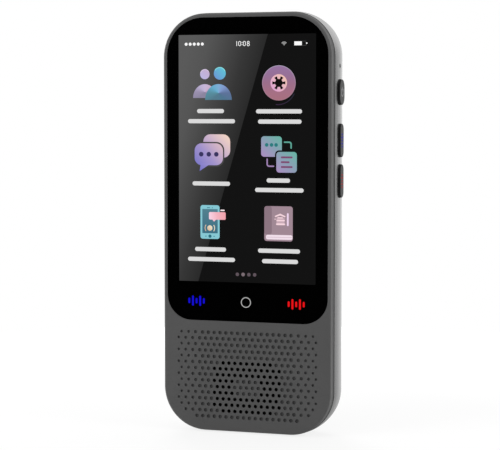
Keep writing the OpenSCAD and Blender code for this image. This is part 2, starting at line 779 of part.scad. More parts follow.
module power_key() color("#646464") upright() key(power_key_y, power_key_l, power_key_w);
module blue_talk_key() color("#646464") upright() key(blue_key_y, talk_key_l, talk_key_w);
module red_talk_key() color("#646464") upright() key(red_key_y, talk_key_l, talk_key_w);

module power_plunger() color("#e8e4da") upright() plunger(power_key_y);
module blue_plunger() color("#e8e4da") upright() plunger(blue_key_y);
module red_plunger() color("#e8e4da") upright() plunger(red_key_y);

module key_switches() color("#b9bbbe") upright() for (y = [power_key_y, blue_key_y, red_key_y])
    difference() {
        block([switch_rear_x, y - switch_l / 2, key_line_z - switch_w / 2],
            [switch_x, y + switch_l / 2, key_line_z + switch_w / 2]);
        translate([switch_x - switch_bore, y, key_line_z]) rotate([0, 90, 0])
            cylinder(d = plunger_d + 2 * fit_gap, h = switch_bore + cut);
    }

module key_board() color("#1d5a36") upright() block([key_board_x, key_board_y0, -key_board_half],
    [switch_rear_x, key_board_y1, web_rear_z - fit_gap]);

// Tail of the key board, folded round the end of the rail on to the main board
module key_flex() color("#8a5a22") upright() {
    low_y = key_flex_y - key_flex_w / 2;
    high_y = key_flex_y + key_flex_w / 2;
    block([switch_rear_x, low_y, flex_rear_z - flex_t],
        [switch_rear_x + flex_t, high_y, flex_bond_l - key_board_half]);
    block([key_connector_x, low_y, flex_rear_z - flex_t], [switch_rear_x + flex_t, high_y, flex_rear_z]);
}

// ---------------------------------------------------------------- microphones

module side_microphone() color("#c8b878") upright()
    translate([0, 0, -side_mic_set_back]) block([switch_rear_x, side_mic_y - mic_l / 2, -mic_w / 2],
        [switch_rear_x + mic_t, side_mic_y + mic_l / 2, mic_w / 2]);

// Rubber sleeve from the microphone to the frame, with a nozzle that lines the frame's hole
module side_mic_boot() color("#1c1c1c") upright()
    translate([switch_rear_x + mic_t, side_mic_y, -side_mic_set_back]) rotate([0, 90, 0]) difference() {
        union() {
            cylinder(d = mic_hole_d + 2 * boot_wall, h = wall_x - switch_rear_x - mic_t);
            cylinder(d = nozzle_d, h = case_w / 2 - nozzle_sink - switch_rear_x - mic_t);
        }
        translate([0, 0, -cut]) cylinder(d = nozzle_d - 2 * nozzle_t, h = case_w);
    }

module top_microphone() color("#c8b878") upright()
    block([top_mic_x - mic_w / 2, top_mic_y - mic_l, board_z],
        [top_mic_x + mic_w / 2, top_mic_y, board_z + mic_t]);

// Rubber block over the microphone, with a channel to the hole in the frame's end
module top_mic_boot() color("#1c1c1c") upright() difference() {
    half = mic_hole_d / 2 + boot_wall;
    intersection() {
        union() {
            block([top_mic_x - half, top_mic_y - mic_l, board_z + mic_t], [top_mic_x + half, case_l, half]);
            block([top_mic_x - half, top_mic_y + fit_gap, board_z], [top_mic_x + half, case_l, half]);
        }
        translate([0, 0, -half - cut]) linear_extrude(2 * half + 2 * cut) cavity_outline(fit_gap / 2);
    }
    translate([top_mic_x, case_l, 0]) rotate([90, 0, 0])
        cylinder(d = mic_hole_d, h = case_l - top_mic_y + mic_l / 2);
}

// ---------------------------------------------------------------- main board

module main_board() color("#1d5a36") upright() difference() {
    translate([0, 0, board_rear_z]) linear_extrude(board_t) intersection() {
        cavity_outline(board_edge_gap);
        translate([board_left_x, board_foot]) square([board_right_x - board_left_x, case_l]);
    }
    holes(case_screw_places, boss_notch_d, board_rear_z - cut, board_z + cut);
    holes(board_screw_places, screw_clear_d, board_rear_z - cut, board_z + cut);
}

module board_screws() color("#8a8c90") upright()
    for (place = concat(board_screw_places, sub_screw_places))
        translate([place[0], place[1], board_rear_z]) screw(board_screw_l);

// Sheet can on the rear of the main board
module shield_can(x, y, w, l) difference() {
    block([x - w / 2, y - l / 2, board_rear_z - shield_h], [x + w / 2, y + l / 2, board_rear_z]);
    block([x - w / 2 + shield_sheet, y - l / 2 + shield_sheet, board_rear_z - shield_h + shield_sheet],
        [x + w / 2 - shield_sheet, y + l / 2 - shield_sheet, board_rear_z + cut]);
}

// Chip of a size [width, length, height] on the rear of the main board
module chip(x, y, size) block([x - size[0] / 2, y - size[1] / 2, board_rear_z - size[2]],
    [x + size[0] / 2, y + size[1] / 2, board_rear_z]);

module main_shield() color("#b4b6b8") upright() shield_can(main_can_x, main_can_y, main_can_w, main_can_l);
module radio_shield() color("#b4b6b8") upright()
    shield_can(radio_can_x, radio_can_y, radio_can_w, radio_can_l);
module processor_chip() color("#232323") upright() chip(processor_x, main_can_y, processor_size);
module memory_chip() color("#232323") upright() chip(memory_x, main_can_y, memory_size);
module radio_chip() color("#232323") upright() chip(radio_can_x, radio_can_y, radio_size);

// Sockets of the flexible circuits: display, touch sensor, keys, and both ends of the link
module flex_connectors() color("#e6e2d6") upright() {
    front_y = flex_drop_y + connector_gap;
    for (tail = [[display_flex_x, display_flex_w], [touch_flex_x, touch_flex_w]])
        block([tail[0] - tail[1] / 2, front_y, board_z],
            [tail[0] + tail[1] / 2, front_y + connector_l, flex_end_z]);
    block([key_connector_x, key_flex_y - key_flex_w / 2, flex_rear_z],
        [key_connector_x + connector_l, key_flex_y + key_flex_w / 2, board_rear_z]);
    block([link_flex_x - link_flex_w / 2, link_connector_y, flex_rear_z],
        [link_flex_x + link_flex_w / 2, link_connector_y + connector_l, board_rear_z]);
    block([link_connector_x, link_flex_y, flex_rear_z],
        [link_connector_x + connector_l, link_flex_y + link_flex_w, board_rear_z]);
}

module battery_connector() color("#e6e2d6") upright()
    block([lead_x - lead_w / 2 - connector_side, board_foot + connector_edge, board_z],
        [lead_x + lead_w / 2 + connector_side, board_foot + connector_edge + connector_l, cell_board_z]);

// Aerial stuck to the inside of the rear cover
module antenna_flex() color("#3a3a3a") upright()
    block([antenna_left_x, antenna_y - antenna_l / 2, rear_inner_z],
        [antenna_right_x, antenna_y + antenna_l / 2, rear_inner_z + flex_t]);

// Leaf spring that joins the main board to the aerial
module antenna_spring() color("#c9a227") upright() {
    x = antenna_right_x - spring_l - spring_w;
    y = antenna_y - spring_w / 2;
    top_z = rear_inner_z + flex_t;
    block([x, y, board_rear_z - spring_t], [x + spring_l, y + spring_w, board_rear_z]);
    block([x, y, top_z], [x + spring_t, y + spring_w, board_rear_z]);
    block([x, y, top_z], [x + spring_l, y + spring_w, top_z + spring_t]);
}

// ---------------------------------------------------------------- battery

module battery_cell() color("#9fa3a8") upright() round_plate(battery_w, battery_foot, battery_top,
    battery_edge_r, battery_edge_r, battery_z - battery_t, battery_z);

module battery_tape() color("#e4d9a8") upright() for (side = [-1, 1])
    translate([side * battery_w / 4, 0, 0]) block([-tape_w / 2, battery_foot + tape_inset, battery_z],
        [tape_w / 2, battery_top - tape_inset, web_rear_z]);

// Protection board on the upper end of the cell
module battery_board() color("#1d5a36") upright()
    block([cell_board_inset - battery_w / 2, battery_top, cell_board_z - cell_board_t],
        [battery_w / 2 - cell_board_inset, battery_top + cell_board_l, cell_board_z]);

module battery_lead() color("#b03030") upright()
    block([lead_x - lead_w / 2, battery_top + lead_inset, cell_board_z],
        [lead_x + lead_w / 2, board_foot + connector_edge + connector_l, cell_board_z + lead_t]);

// ---------------------------------------------------------------- lower board and socket

module sub_board() color("#1d5a36") upright() difference() {
    translate([0, 0, board_rear_z]) linear_extrude(board_t) intersection() {
        cavity_outline(sub_board_y - frame_wall);
        translate([-sub_board_w / 2, sub_board_y]) square([sub_board_w, sub_board_l]);
    }
    holes(sub_screw_places, screw_clear_d, board_rear_z - cut, board_z + cut);
}

// Cross-section of the socket, shrunk by gap
module socket_outline(gap) round_rect(socket_w - 2 * gap, gap - socket_h / 2, socket_h / 2 - gap,
    socket_h / 2 - gap - fit_gap / 2, socket_h / 2 - gap - fit_gap / 2);

// Carries a cross-section up the part's length from y0 to y1
module along_length(y0, y1) translate([0, y1, 0]) rotate([90, 0, 0]) linear_extrude(y1 - y0) children();

module socket_shell() color("#b8babd") upright() difference() {
    along_length(socket_sink, socket_sink + socket_l) socket_outline(0);
    along_length(socket_sink - cut, socket_sink + socket_l - socket_sheet) socket_outline(socket_sheet);
}

module socket_tongue() color("#1a1a1a") upright() {
    base_y = socket_sink + socket_l - socket_sheet - tongue_base_l;
    along_length(base_y, base_y + tongue_base_l) socket_outline(socket_sheet + fit_gap / 2);
    block([-tongue_w / 2, socket_sink + tongue_set_back, -tongue_t / 2],
        [tongue_w / 2, base_y, tongue_t / 2]);
}

// Flat link between the two boards, past the side of the battery
module link_flex() color("#8a5a22") upright() {
    block([link_flex_x - link_flex_w / 2, link_flex_y, flex_rear_z - flex_t],
        [link_flex_x + link_flex_w / 2, link_connector_y + connector_l, flex_rear_z]);
    block([link_flex_x, link_flex_y, flex_rear_z - flex_t],
        [link_connector_x + connector_l, link_flex_y + link_flex_w, flex_rear_z]);
}

// ---------------------------------------------------------------- speaker

// Plate of the speaker's outline, grown by grow, between two planes
module speaker_plate(grow, z0, z1) translate([0, 0, z0]) linear_extrude(z1 - z0) speaker_outline(grow);

// Centre part of the speaker, w by l, between two planes
module speaker_core(w, l, r, z0, z1) round_plate(w, speaker_y - l / 2, speaker_y + l / 2, r, r, z0, z1);

module speaker_mesh() color("#0c0c0c") upright() speaker_plate(0, mesh_z, front_inner_z);

module speaker_gasket() color("#161616") upright() difference() {
    speaker_plate(0, gasket_z, mesh_z);
    speaker_plate(-gasket_w, gasket_z - cut, mesh_z + cut);
}

module speaker_basket() color("#2b2b2b") upright() difference() {
    speaker_plate(0, basket_rear_z, gasket_z);
    speaker_plate(-gasket_w, cone_z, gasket_z + cut);
    speaker_plate(-gasket_w - cone_seat, basket_rear_z + basket_floor, gasket_z + cut);
    speaker_core(magnet_w + 2 * fit_gap, magnet_h + 2 * fit_gap, magnet_r + fit_gap,
        basket_rear_z - cut, gasket_z);
}

module speaker_magnet() color("#7c7e80") upright() {
    speaker_core(magnet_w, magnet_h, magnet_r, basket_rear_z, basket_rear_z + basket_floor);
    speaker_core(magnet_w + 2 * yoke_rim, magnet_h + 2 * yoke_rim, magnet_r + yoke_rim,
        basket_rear_z - magnet_t, basket_rear_z);
}

module speaker_cone() color("#141414") upright() {
    speaker_plate(-gasket_w - fit_gap / 2, cone_z, cone_z + cone_t);
    difference() {
        speaker_core(coil_w, coil_h, coil_r, basket_rear_z + basket_floor + fit_gap, cone_z);
        speaker_core(coil_w - 2 * coil_t, coil_h - 2 * coil_t, coil_r - coil_t, basket_rear_z, cone_z);
    }
}

// Spring pins from the lower board to the speaker
module speaker_contacts() color("#c9a227") upright() for (side = [-1, 1])
    translate([side * (basket_w / 2 - contact_edge), speaker_y + contact_edge, board_z])
        cylinder(d = contact_d, h = basket_rear_z - board_z);

front_cover();
cover_glass();
glass_adhesive();
display_panel();
backlight_unit();
display_tape();
display_flex();
touch_flex();
middle_frame();
front_screws();
rear_cover();
case_screws();
power_key();
blue_talk_key();
red_talk_key();
power_plunger();
blue_plunger();
red_plunger();
key_switches();
key_board();
key_flex();
side_microphone();
side_mic_boot();
top_microphone();
top_mic_boot();
main_board();
board_screws();
main_shield();
radio_shield();
processor_chip();
memory_chip();
radio_chip();
flex_connectors();
battery_connector();
battery_cell();
battery_board();
battery_lead();
battery_tape();
sub_board();
socket_shell();
socket_tongue();
link_flex();
speaker_basket();
speaker_cone();
speaker_magnet();
speaker_gasket();
speaker_mesh();
speaker_contacts();
antenna_flex();
antenna_spring();
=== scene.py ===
# %% [markdown]
# # A handheld voice translator
# A translator of this kind is a slim slab with a touch display, a loudspeaker behind a drilled
# grille, and three keys in the side: power, and one key for each speaker of the conversation.
# All hard parts come from CAD. This lesson dresses them: it lights them, gives each part the
# surface of its real material, and adds what CAD leaves out: the picture on the display, the
# touch marks printed under the glass and the signs on the keys.

# %% Load the parts
import math

import bmesh
import bpy
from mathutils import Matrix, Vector


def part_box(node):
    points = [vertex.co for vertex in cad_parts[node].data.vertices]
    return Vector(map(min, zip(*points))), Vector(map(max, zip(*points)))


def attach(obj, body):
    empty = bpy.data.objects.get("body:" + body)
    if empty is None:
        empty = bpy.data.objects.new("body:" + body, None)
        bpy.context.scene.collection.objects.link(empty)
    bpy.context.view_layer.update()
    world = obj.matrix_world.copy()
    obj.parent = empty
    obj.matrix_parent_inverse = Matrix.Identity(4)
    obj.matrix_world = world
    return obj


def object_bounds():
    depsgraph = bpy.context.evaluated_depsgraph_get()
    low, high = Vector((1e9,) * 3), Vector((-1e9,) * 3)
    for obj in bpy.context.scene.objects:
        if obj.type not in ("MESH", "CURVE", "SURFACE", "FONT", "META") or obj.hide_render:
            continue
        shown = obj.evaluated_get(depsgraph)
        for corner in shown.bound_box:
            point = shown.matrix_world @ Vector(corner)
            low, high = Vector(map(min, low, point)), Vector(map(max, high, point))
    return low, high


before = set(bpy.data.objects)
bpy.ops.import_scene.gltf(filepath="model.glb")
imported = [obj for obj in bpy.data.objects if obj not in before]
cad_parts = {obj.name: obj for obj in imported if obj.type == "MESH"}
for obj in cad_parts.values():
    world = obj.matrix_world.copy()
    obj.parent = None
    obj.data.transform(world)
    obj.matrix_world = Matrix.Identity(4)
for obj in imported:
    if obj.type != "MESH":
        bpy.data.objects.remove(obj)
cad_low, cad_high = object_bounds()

MM = 0.001  # one millimetre in Blender's metres
print("size in mm:", [round(side / MM, 2) for side in cad_high - cad_low])

# %% [markdown]
# ## Camera
# The device stands on its lower end and its front looks along -Y. A product picture is taken
# with a long lens from a little to the side, so that the silver edge and the keys show while
# the upright lines stay almost parallel. The camera is placed on a sphere round the point of the
# front face that it looks at, because an angle and a distance are easier to reason about than
# coordinates.

# %% Place the camera
AIM = Vector((1.3 * MM, cad_low.y, 74.85 * MM))
DISTANCE = 609 * MM
TURN, RISE = math.radians(18), math.radians(3.83)  # to the right of the front, and above level
SENSOR_W, FOCAL_LENGTH = 36, 123.7  # in mm
NEAREST, FARTHEST = 0.02, 20  # limits of what the camera draws, in metres from it

camera_data = bpy.data.cameras.new("product_lens")
camera_data.sensor_width = SENSOR_W
camera_data.lens = FOCAL_LENGTH
camera_data.clip_start = NEAREST
camera_data.clip_end = FARTHEST
camera = bpy.data.objects.new("product_camera", camera_data)
bpy.context.scene.collection.objects.link(camera)
bpy.context.scene.camera = camera
towards = Vector((math.sin(TURN) * math.cos(RISE), -math.cos(TURN) * math.cos(RISE), math.sin(RISE)))
camera.location = AIM + DISTANCE * towards
camera.rotation_euler = (-towards).to_track_quat("-Z", "Y").to_euler()
print("camera at, in mm:", [round(c / MM, 1) for c in camera.location])

# %% [markdown]
# ## Three helpers for materials
# Colours are written as hex values, as a paint chart gives them. Those are sRGB values, and
# shaders calculate with linear light, so one function converts them. A second function adds a
# shader node, sets its sockets and joins its inputs, which keeps every material short to read.
# A third one fills a colour ramp.


# %% Colour and node helpers
def linear(colour):
    """sRGB hex such as "C9CACC" to the linear colour with alpha that a socket takes."""
    steps = [int(colour[i:i + 2], 16) / 255 for i in (0, 2, 4)]
    return [s / 12.92 if s <= 0.04045 else ((s + 0.055) / 1.055) ** 2.4 for s in steps] + [1.0]


def add(tree, kind, links=None, inputs=None, **settings):
    """Adds one node: settings are its properties, inputs its socket values, links its wires."""
    made = tree.nodes.new(kind)
    for name, value in settings.items():
        setattr(made, name, value)
    for name, value in (inputs or {}).items():
        made.inputs[name].default_value = value
    for name, source in (links or {}).items():
        tree.links.new(source, made.inputs[name])
    return made


def fill_ramp(ramp, stops):
    """Sets a colour ramp's stops, given as (place, hex colour)."""
    while len(ramp.elements) < len(stops):
        ramp.elements.new(0.5)
    for element, (place, colour) in zip(ramp.elements, stops):
        element.position = place
        element.color = linear(colour)


print("mid grey 808080 is", round(linear("808080")[0], 3), "in linear light")

# %% [markdown]
# ## Studio
# The device stands on a white table in front of a lit white wall, with the room behind the
# camera kept dark. That is how glossy black products are shot: the glass faces the dark room
# and stays black, while the metal edge, which faces away from the camera, picks up the wall.
# The world does this for reflections with a ramp over the angle between a direction and the way
# back to the camera's side, from the dark room at 0 to the bright wall at 180 degrees. The side
# walls of the room are lit too: they put a thin light line on every rounded edge. The wall is
# brighter higher up, which lifts the upper corners. For scattered light the world is one even
# soft white.

# %% Mirrored room
ROOM_TO_WALL = [  # degrees from the dark room's middle, and brightness
    (0, "030303"), (32, "101010"), (46, "707070"), (62, "B4B4B4"), (80, "DCDCDC"), (114, "DCDCDC"),
    (134, "8A8A8A"), (144, "7C7C7C"), (150, "8E8E8E"), (156, "A0A0A0"), (162, "B6B6B6"),
    (168, "D0D0D0"), (180, "FFFFFF")]
LIFT = 0.5  # share of white that the wall gains higher up
LIFT_LOW, LIFT_HIGH = 0.05, 0.4  # upward parts of a direction between which the lift grows
WALL_RIM, WALL_FULL = -0.5, -0.8  # cosines of the angle between which the lift sets in
COLOUR_A, COLOUR_B, COLOUR_OUT = 6, 7, 2  # places of a Mix node's colour sockets

world = bpy.data.worlds.new("studio")
bpy.context.scene.world = world
world.use_nodes = True
sky = world.node_tree
sky.nodes.clear()
looking = add(sky, "ShaderNodeTexCoord")
turned = add(sky, "ShaderNodeVectorMath", {0: looking.outputs["Generated"]}, {1: (0, -1, 0)},
    operation="DOT_PRODUCT")
angle = add(sky, "ShaderNodeMath", {0: turned.outputs["Value"]}, operation="ARCCOSINE")
half_turns = add(sky, "ShaderNodeMath", {0: angle.outputs[0]}, {1: math.pi}, operation="DIVIDE")
room = add(sky, "ShaderNodeValToRGB", {"Fac": half_turns.outputs[0]})
fill_ramp(room.color_ramp, [(degrees / 180, colour) for degrees, colour in ROOM_TO_WALL])
height = add(sky, "ShaderNodeSeparateXYZ", {"Vector": looking.outputs["Generated"]})
above = add(sky, "ShaderNodeMapRange", {"Value": height.outputs["Z"]},
    {"From Min": LIFT_LOW, "From Max": LIFT_HIGH, "To Max": LIFT})
on_wall = add(sky, "ShaderNodeMapRange", {"Value": turned.outputs["Value"]},
    {"From Min": WALL_RIM, "From Max": WALL_FULL})
lift = add(sky, "ShaderNodeMath", {0: above.outputs["Result"], 1: on_wall.outputs["Result"]},
    operation="MULTIPLY")
whole_room = add(sky, "ShaderNodeMix", {"Factor": lift.outputs[0],
    COLOUR_A: room.outputs["Color"]}, {COLOUR_B: linear("FFFFFF")}, data_type="RGBA")
print("mirrored room: from", ROOM_TO_WALL[0][1], "to", ROOM_TO_WALL[-1][1])

# %% [markdown]
# The Light Path node tells the kinds of ray apart. The camera sees a plain white backdrop, also
# through clear parts, gloss sees the room, and all else gets the even soft light.

# %% World
SOFT_LIGHT = 0.62  # brightness of the even light
mirrored = add(sky, "ShaderNodeBackground", {"Color": whole_room.outputs[COLOUR_OUT]})
even = add(sky, "ShaderNodeBackground", inputs={"Color": linear("FFFFFF"), "Strength": SOFT_LIGHT})
backdrop = add(sky, "ShaderNodeBackground", inputs={"Color": linear("FFFFFF"), "Strength": 1.0})
path = add(sky, "ShaderNodeLightPath")
seen = add(sky, "ShaderNodeMath", {0: path.outputs["Is Camera Ray"],
    1: path.outputs["Is Transmission Ray"]}, operation="MAXIMUM")
gloss = add(sky, "ShaderNodeMixShader", {"Fac": path.outputs["Is Glossy Ray"],
    1: even.outputs[0], 2: mirrored.outputs[0]})
shown = add(sky, "ShaderNodeMixShader", {"Fac": seen.outputs[0], 1: gloss.outputs[0],
    2: backdrop.outputs[0]})
add(sky, "ShaderNodeOutputWorld", {"Surface": shown.outputs[0]})
print("even light:", SOFT_LIGHT)

# %% [markdown]
# The table is a disc. Seen by the camera it is almost all glow, so that it meets the white
# backdrop without a line, and the small share that is lit keeps a faint soft shadow under the
# device. To every other ray it is a plain white table top. It is left out of mirror images: the
# silver edge then shows the room alone, as it would above a table that ends at the device.

# %% Table
TABLE_R = 300 * MM
table_mesh = bpy.data.meshes.new("table_top")
shape = bmesh.new()
bmesh.ops.create_circle(shape, cap_ends=True, segments=96, radius=TABLE_R)
shape.to_mesh(table_mesh)
shape.free()
table = bpy.data.objects.new("table_top", table_mesh)
bpy.context.scene.collection.objects.link(table)
print("table:", round(2 * TABLE_R / MM), "mm across")

# %% Table top
GLOW = 0.8  # share of the table's brightness that no shadow can darken
SHADED_R, GLOWING_R = 0.3 * TABLE_R, 0.95 * TABLE_R  # between these the shadow's share fades out
table_top = bpy.data.materials.new("white_table_top")
table_top.use_nodes = True
tree = table_top.node_tree
tree.nodes.clear()
spot = add(tree, "ShaderNodeTexCoord")
reach = add(tree, "ShaderNodeVectorMath", {0: spot.outputs["Object"]}, operation="LENGTH")
near_rim = add(tree, "ShaderNodeMapRange", {"Value": reach.outputs["Value"]},
    {"From Min": SHADED_R, "From Max": GLOWING_R}, interpolation_type="SMOOTHSTEP")
glow = add(tree, "ShaderNodeMapRange", {"Value": near_rim.outputs["Result"]},
    {"To Min": GLOW, "To Max": 1.0})
glowing = add(tree, "ShaderNodeEmission", {"Strength": glow.outputs["Result"]},
    {"Color": linear("FFFFFF")})
share = add(tree, "ShaderNodeBsdfDiffuse", inputs={"Color": linear("7A7A7A")})
for_camera = add(tree, "ShaderNodeAddShader", {0: glowing.outputs[0], 1: share.outputs[0]})
white = add(tree, "ShaderNodeBsdfDiffuse", inputs={"Color": linear("D8D8D8")})
path = add(tree, "ShaderNodeLightPath")
shown = add(tree, "ShaderNodeMixShader", {"Fac": path.outputs["Is Camera Ray"],
    1: white.outputs[0], 2: for_camera.outputs[0]})
add(tree, "ShaderNodeOutputMaterial", {"Surface": shown.outputs[0]})
table_mesh.materials.append(table_top)
table.visible_glossy = False
print("share of the table top that glows:", GLOW)

# %% [markdown]
# Three large soft boxes shape the device on top of the even light: the key light from the
# front left, a weaker fill from the right for the keys, and one behind for the rear cover. They
# are left out of mirror images, so that what the metal and the glass show is the room alone.

# %% Soft boxes
SOFT_BOXES = [  # name, place in mm, side in mm, watts
    ("key_light", (-620, -700, 520), 520, 3.4),
    ("fill_light", (820, -120, 420), 420, 2.2),
    ("rear_light", (-420, 780, 560), 520, 4.6)]
MIDDLE = Vector((0, 0, 75)) * MM  # of the device, where all of them point

for name, place, side, watts in SOFT_BOXES:
    lamp_data = bpy.data.lights.new(name, "AREA")
    lamp_data.shape = "SQUARE"
    lamp_data.size = side * MM
    lamp_data.energy = watts
    lamp = bpy.data.objects.new(name, lamp_data)
    bpy.context.scene.collection.objects.link(lamp)
    lamp.location = Vector(place) * MM
    lamp.rotation_euler = (MIDDLE - lamp.location).to_track_quat("-Z", "Y").to_euler()
    lamp.visible_glossy = False
    print(name, "at", place, "mm")

# With this view a colour in plain light renders about as it is written.
bpy.context.scene.view_settings.view_transform = "Standard"

# %% [markdown]
# ## Moulded and finished surfaces
# Almost every real surface of a device like this is even in colour but not perfect: a mould
# has a fine spark-eroded texture, and metal is blasted with beads before it is anodised. So
# one function makes them all from a colour, a gloss, a grain size and a relief. The grain size
# comes from the real process, and a slow change of gloss stands for handling.

# %% Surface maker
HANDLED = 25  # size in mm of the patches that handling leaves


def surface(name, colour, roughness, grain, relief, mottle=0.05, wear=0.06, **sockets):
    """A solid surface: grain and relief in mm, mottle and wear as shares of colour and gloss."""
    made = bpy.data.materials.new(name)
    made.use_nodes = True
    tree = made.node_tree
    tree.nodes.clear()
    spot = add(tree, "ShaderNodeTexCoord")
    fine = add(tree, "ShaderNodeTexNoise", {"Vector": spot.outputs["Object"]},
        {"Scale": 1 / (grain * MM), "Detail": 3.0, "Roughness": 0.6})
    slow = add(tree, "ShaderNodeTexNoise", {"Vector": spot.outputs["Object"]},
        {"Scale": 1 / (HANDLED * MM), "Detail": 2.0})
    tone = add(tree, "ShaderNodeMapRange", {"Value": fine.outputs["Fac"]},
        {"From Min": 0.25, "From Max": 0.75, "To Min": 1 - mottle, "To Max": 1 + mottle})
    tinted = add(tree, "ShaderNodeVectorMath", {"Scale": tone.outputs["Result"]},
        {0: linear(colour)[:3]}, operation="SCALE")
    matt = add(tree, "ShaderNodeMapRange", {"Value": slow.outputs["Fac"]},
        {"From Min": 0.3, "From Max": 0.7, "To Min": roughness - wear, "To Max": roughness + wear})
    rise = add(tree, "ShaderNodeBump", {"Height": fine.outputs["Fac"]},
        {"Distance": relief * MM, "Strength": 1.0})
    shader = add(tree, "ShaderNodeBsdfPrincipled", {"Base Color": tinted.outputs["Vector"],
        "Roughness": matt.outputs["Result"], "Normal": rise.outputs["Normal"]}, sockets)
    add(tree, "ShaderNodeOutputMaterial", {"Surface": shader.outputs[0]})
    return made


def dress(material, *names):
    """Puts a material on CAD nodes."""
    for name in names:
        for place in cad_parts[name].material_slots:
            place.material = material


print("handling leaves patches of", HANDLED, "mm")

# %% Outer surfaces
# Polycarbonate from a spark-eroded mould, painted dark grey: a dry, even face with a soft sheen
# at its edges. The eroded grain is about 0.05 mm, drawn at 0.3 mm so that it shows at all.
front_paint = surface("spark_eroded_polycarbonate", "585858", 0.45, 0.3, 0.006, 0.03, IOR=1.585)
dress(front_paint, "front_cover")
# ABS, moulded and left unpainted: a shade darker than the front and coarser, for grip.
rear_blend = surface("textured_abs_rear", "454546", 0.6, 0.45, 0.02, 0.06, IOR=1.54)
dress(rear_blend, "rear_cover")
# Aluminium, blasted with fine glass beads and anodised clear: silver, with reflections drawn
# out into soft bands. The beads leave pits of 0.1 mm, drawn at 0.25 mm.
silver = surface("bead_blasted_anodised_aluminium", "DCDCDC", 0.24, 0.25, 0.002, 0.02, 0.03,
    Metallic=1.0)
dress(silver, "middle_frame")
# Black aluminosilicate glass, printed black from behind: a mirror with no colour of its own.
# Only a breath of fingerprint haze changes its gloss.
glass = surface("black_printed_cover_glass", "010101", 0.045, 4.0, 0.0, 0.0, 0.02, IOR=1.51)
dress(glass, "cover_glass")
# Keys of black ABS, satin: dark to the front, and grey where the top catches the wall at a flat
# angle.
key_abs = surface("satin_black_key_abs", "08080A", 0.3, 0.4, 0.002, 0.04, 0.03, IOR=1.54)
dress(key_abs, "power_key", "blue_talk_key", "red_talk_key")
print("outer surfaces:", [m.name for m in (front_paint, rear_blend, silver, glass, key_abs)])

# %% [markdown]
# ## Paint and painted shade in the holes
# The front cover is sprayed from the front. Most holes of the grille are blind, and their floors
# get a thin coat, with painted shade making them darker than the face. On the walls of a hole the
# colour fades within half a millimetre to black, partly as the paint thins and partly as painted
# shade of the hollow, so the holes that go right through, in front of the loudspeaker, look black.
# The material asks three questions: how deep is this point below the face, is it further in
# than the rounded rim, and does the surface face forwards, as a floor does, or sideways, as a
# wall? "Further in than the rim" is a rounded rectangle, which takes only a few vector steps.

# %% Depth below the face
RIM_R, RIM_W = 15.5, 1.1  # corner radius of the cover, and the width of its rounded rim, in mm
DARKEN_START, DARKEN_END = 0.08, 0.48  # depths between which a wall darkens, with thinner paint and painted shade, in mm
# colours in the holes: thinner paint, darkened further as painted shade of the hollow
WALL_PAINT_AND_SHADE, FLOOR_PAINT_AND_SHADE, BARE_PLASTIC_AND_SHADE = "3C3C3C", "464646", "030303"
FLOOR_FROM = 0.5  # forward part of the normal from which on a surface counts as a floor
low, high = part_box("front_cover")
tree = front_paint.node_tree
spot = add(tree, "ShaderNodeTexCoord")
parts = add(tree, "ShaderNodeSeparateXYZ", {"Vector": spot.outputs["Object"]})
depth = add(tree, "ShaderNodeMapRange", {"Value": parts.outputs["Y"]},
    {"From Min": low.y + DARKEN_START * MM, "From Max": low.y + DARKEN_END * MM})
wall_paint_and_shade = add(tree, "ShaderNodeValToRGB", {"Fac": depth.outputs["Result"]})
fill_ramp(wall_paint_and_shade.color_ramp, [(0, WALL_PAINT_AND_SHADE), (1, BARE_PLASTIC_AND_SHADE)])
facing = add(tree, "ShaderNodeNewGeometry")
forwards = add(tree, "ShaderNodeVectorMath", {0: facing.outputs["True Normal"]}, {1: (0, -1, 0)},
    operation="DOT_PRODUCT")
is_floor = add(tree, "ShaderNodeMath", {0: forwards.outputs["Value"]}, {1: FLOOR_FROM},
    operation="GREATER_THAN")
hole_paint_and_shade = add(tree, "ShaderNodeMix", {"Factor": is_floor.outputs[0],
    COLOUR_A: wall_paint_and_shade.outputs["Color"]}, {COLOUR_B: linear(FLOOR_PAINT_AND_SHADE)}, data_type="RGBA")
print("holes go from", WALL_PAINT_AND_SHADE, "to", BARE_PLASTIC_AND_SHADE, "and have floors of", FLOOR_PAINT_AND_SHADE)

# %% Further in than the rim
centred = add(tree, "ShaderNodeVectorMath", {0: spot.outputs["Object"]}, {1: (low + high) / 2},
    operation="SUBTRACT")
folded = add(tree, "ShaderNodeVectorMath", {0: centred.outputs[0]}, operation="ABSOLUTE")
corner = (high - low) / 2 - Vector((RIM_R, 0, RIM_R)) * MM
beyond = add(tree, "ShaderNodeVectorMath", {0: folded.outputs[0]}, {1: corner}, operation="SUBTRACT")
outward = add(tree, "ShaderNodeVectorMath", {0: beyond.outputs[0]}, {1: (0, 0, 0)},
    operation="MAXIMUM")
flat = add(tree, "ShaderNodeVectorMath", {0: outward.outputs[0]}, {1: (1, 0, 1)}, operation="MULTIPLY")
reach = add(tree, "ShaderNodeVectorMath", {0: flat.outputs[0]}, operation="LENGTH")
within = add(tree, "ShaderNodeMath", {0: reach.outputs["Value"]}, {1: (RIM_R - RIM_W) * MM},
    operation="LESS_THAN")
below = add(tree, "ShaderNodeMath", {0: depth.outputs["Result"]}, {1: 0}, operation="GREATER_THAN")
in_hole = add(tree, "ShaderNodeMath", {0: below.outputs[0], 1: within.outputs[0]}, operation="MULTIPLY")
shader = tree.nodes["Principled BSDF"]
painted = shader.inputs["Base Color"].links[0].from_socket
coloured = add(tree, "ShaderNodeMix", {"Factor": in_hole.outputs[0], COLOUR_A: painted,
    COLOUR_B: hole_paint_and_shade.outputs[COLOUR_OUT]}, data_type="RGBA")
print("paint fades from", DARKEN_START, "to", DARKEN_END, "mm below the face")
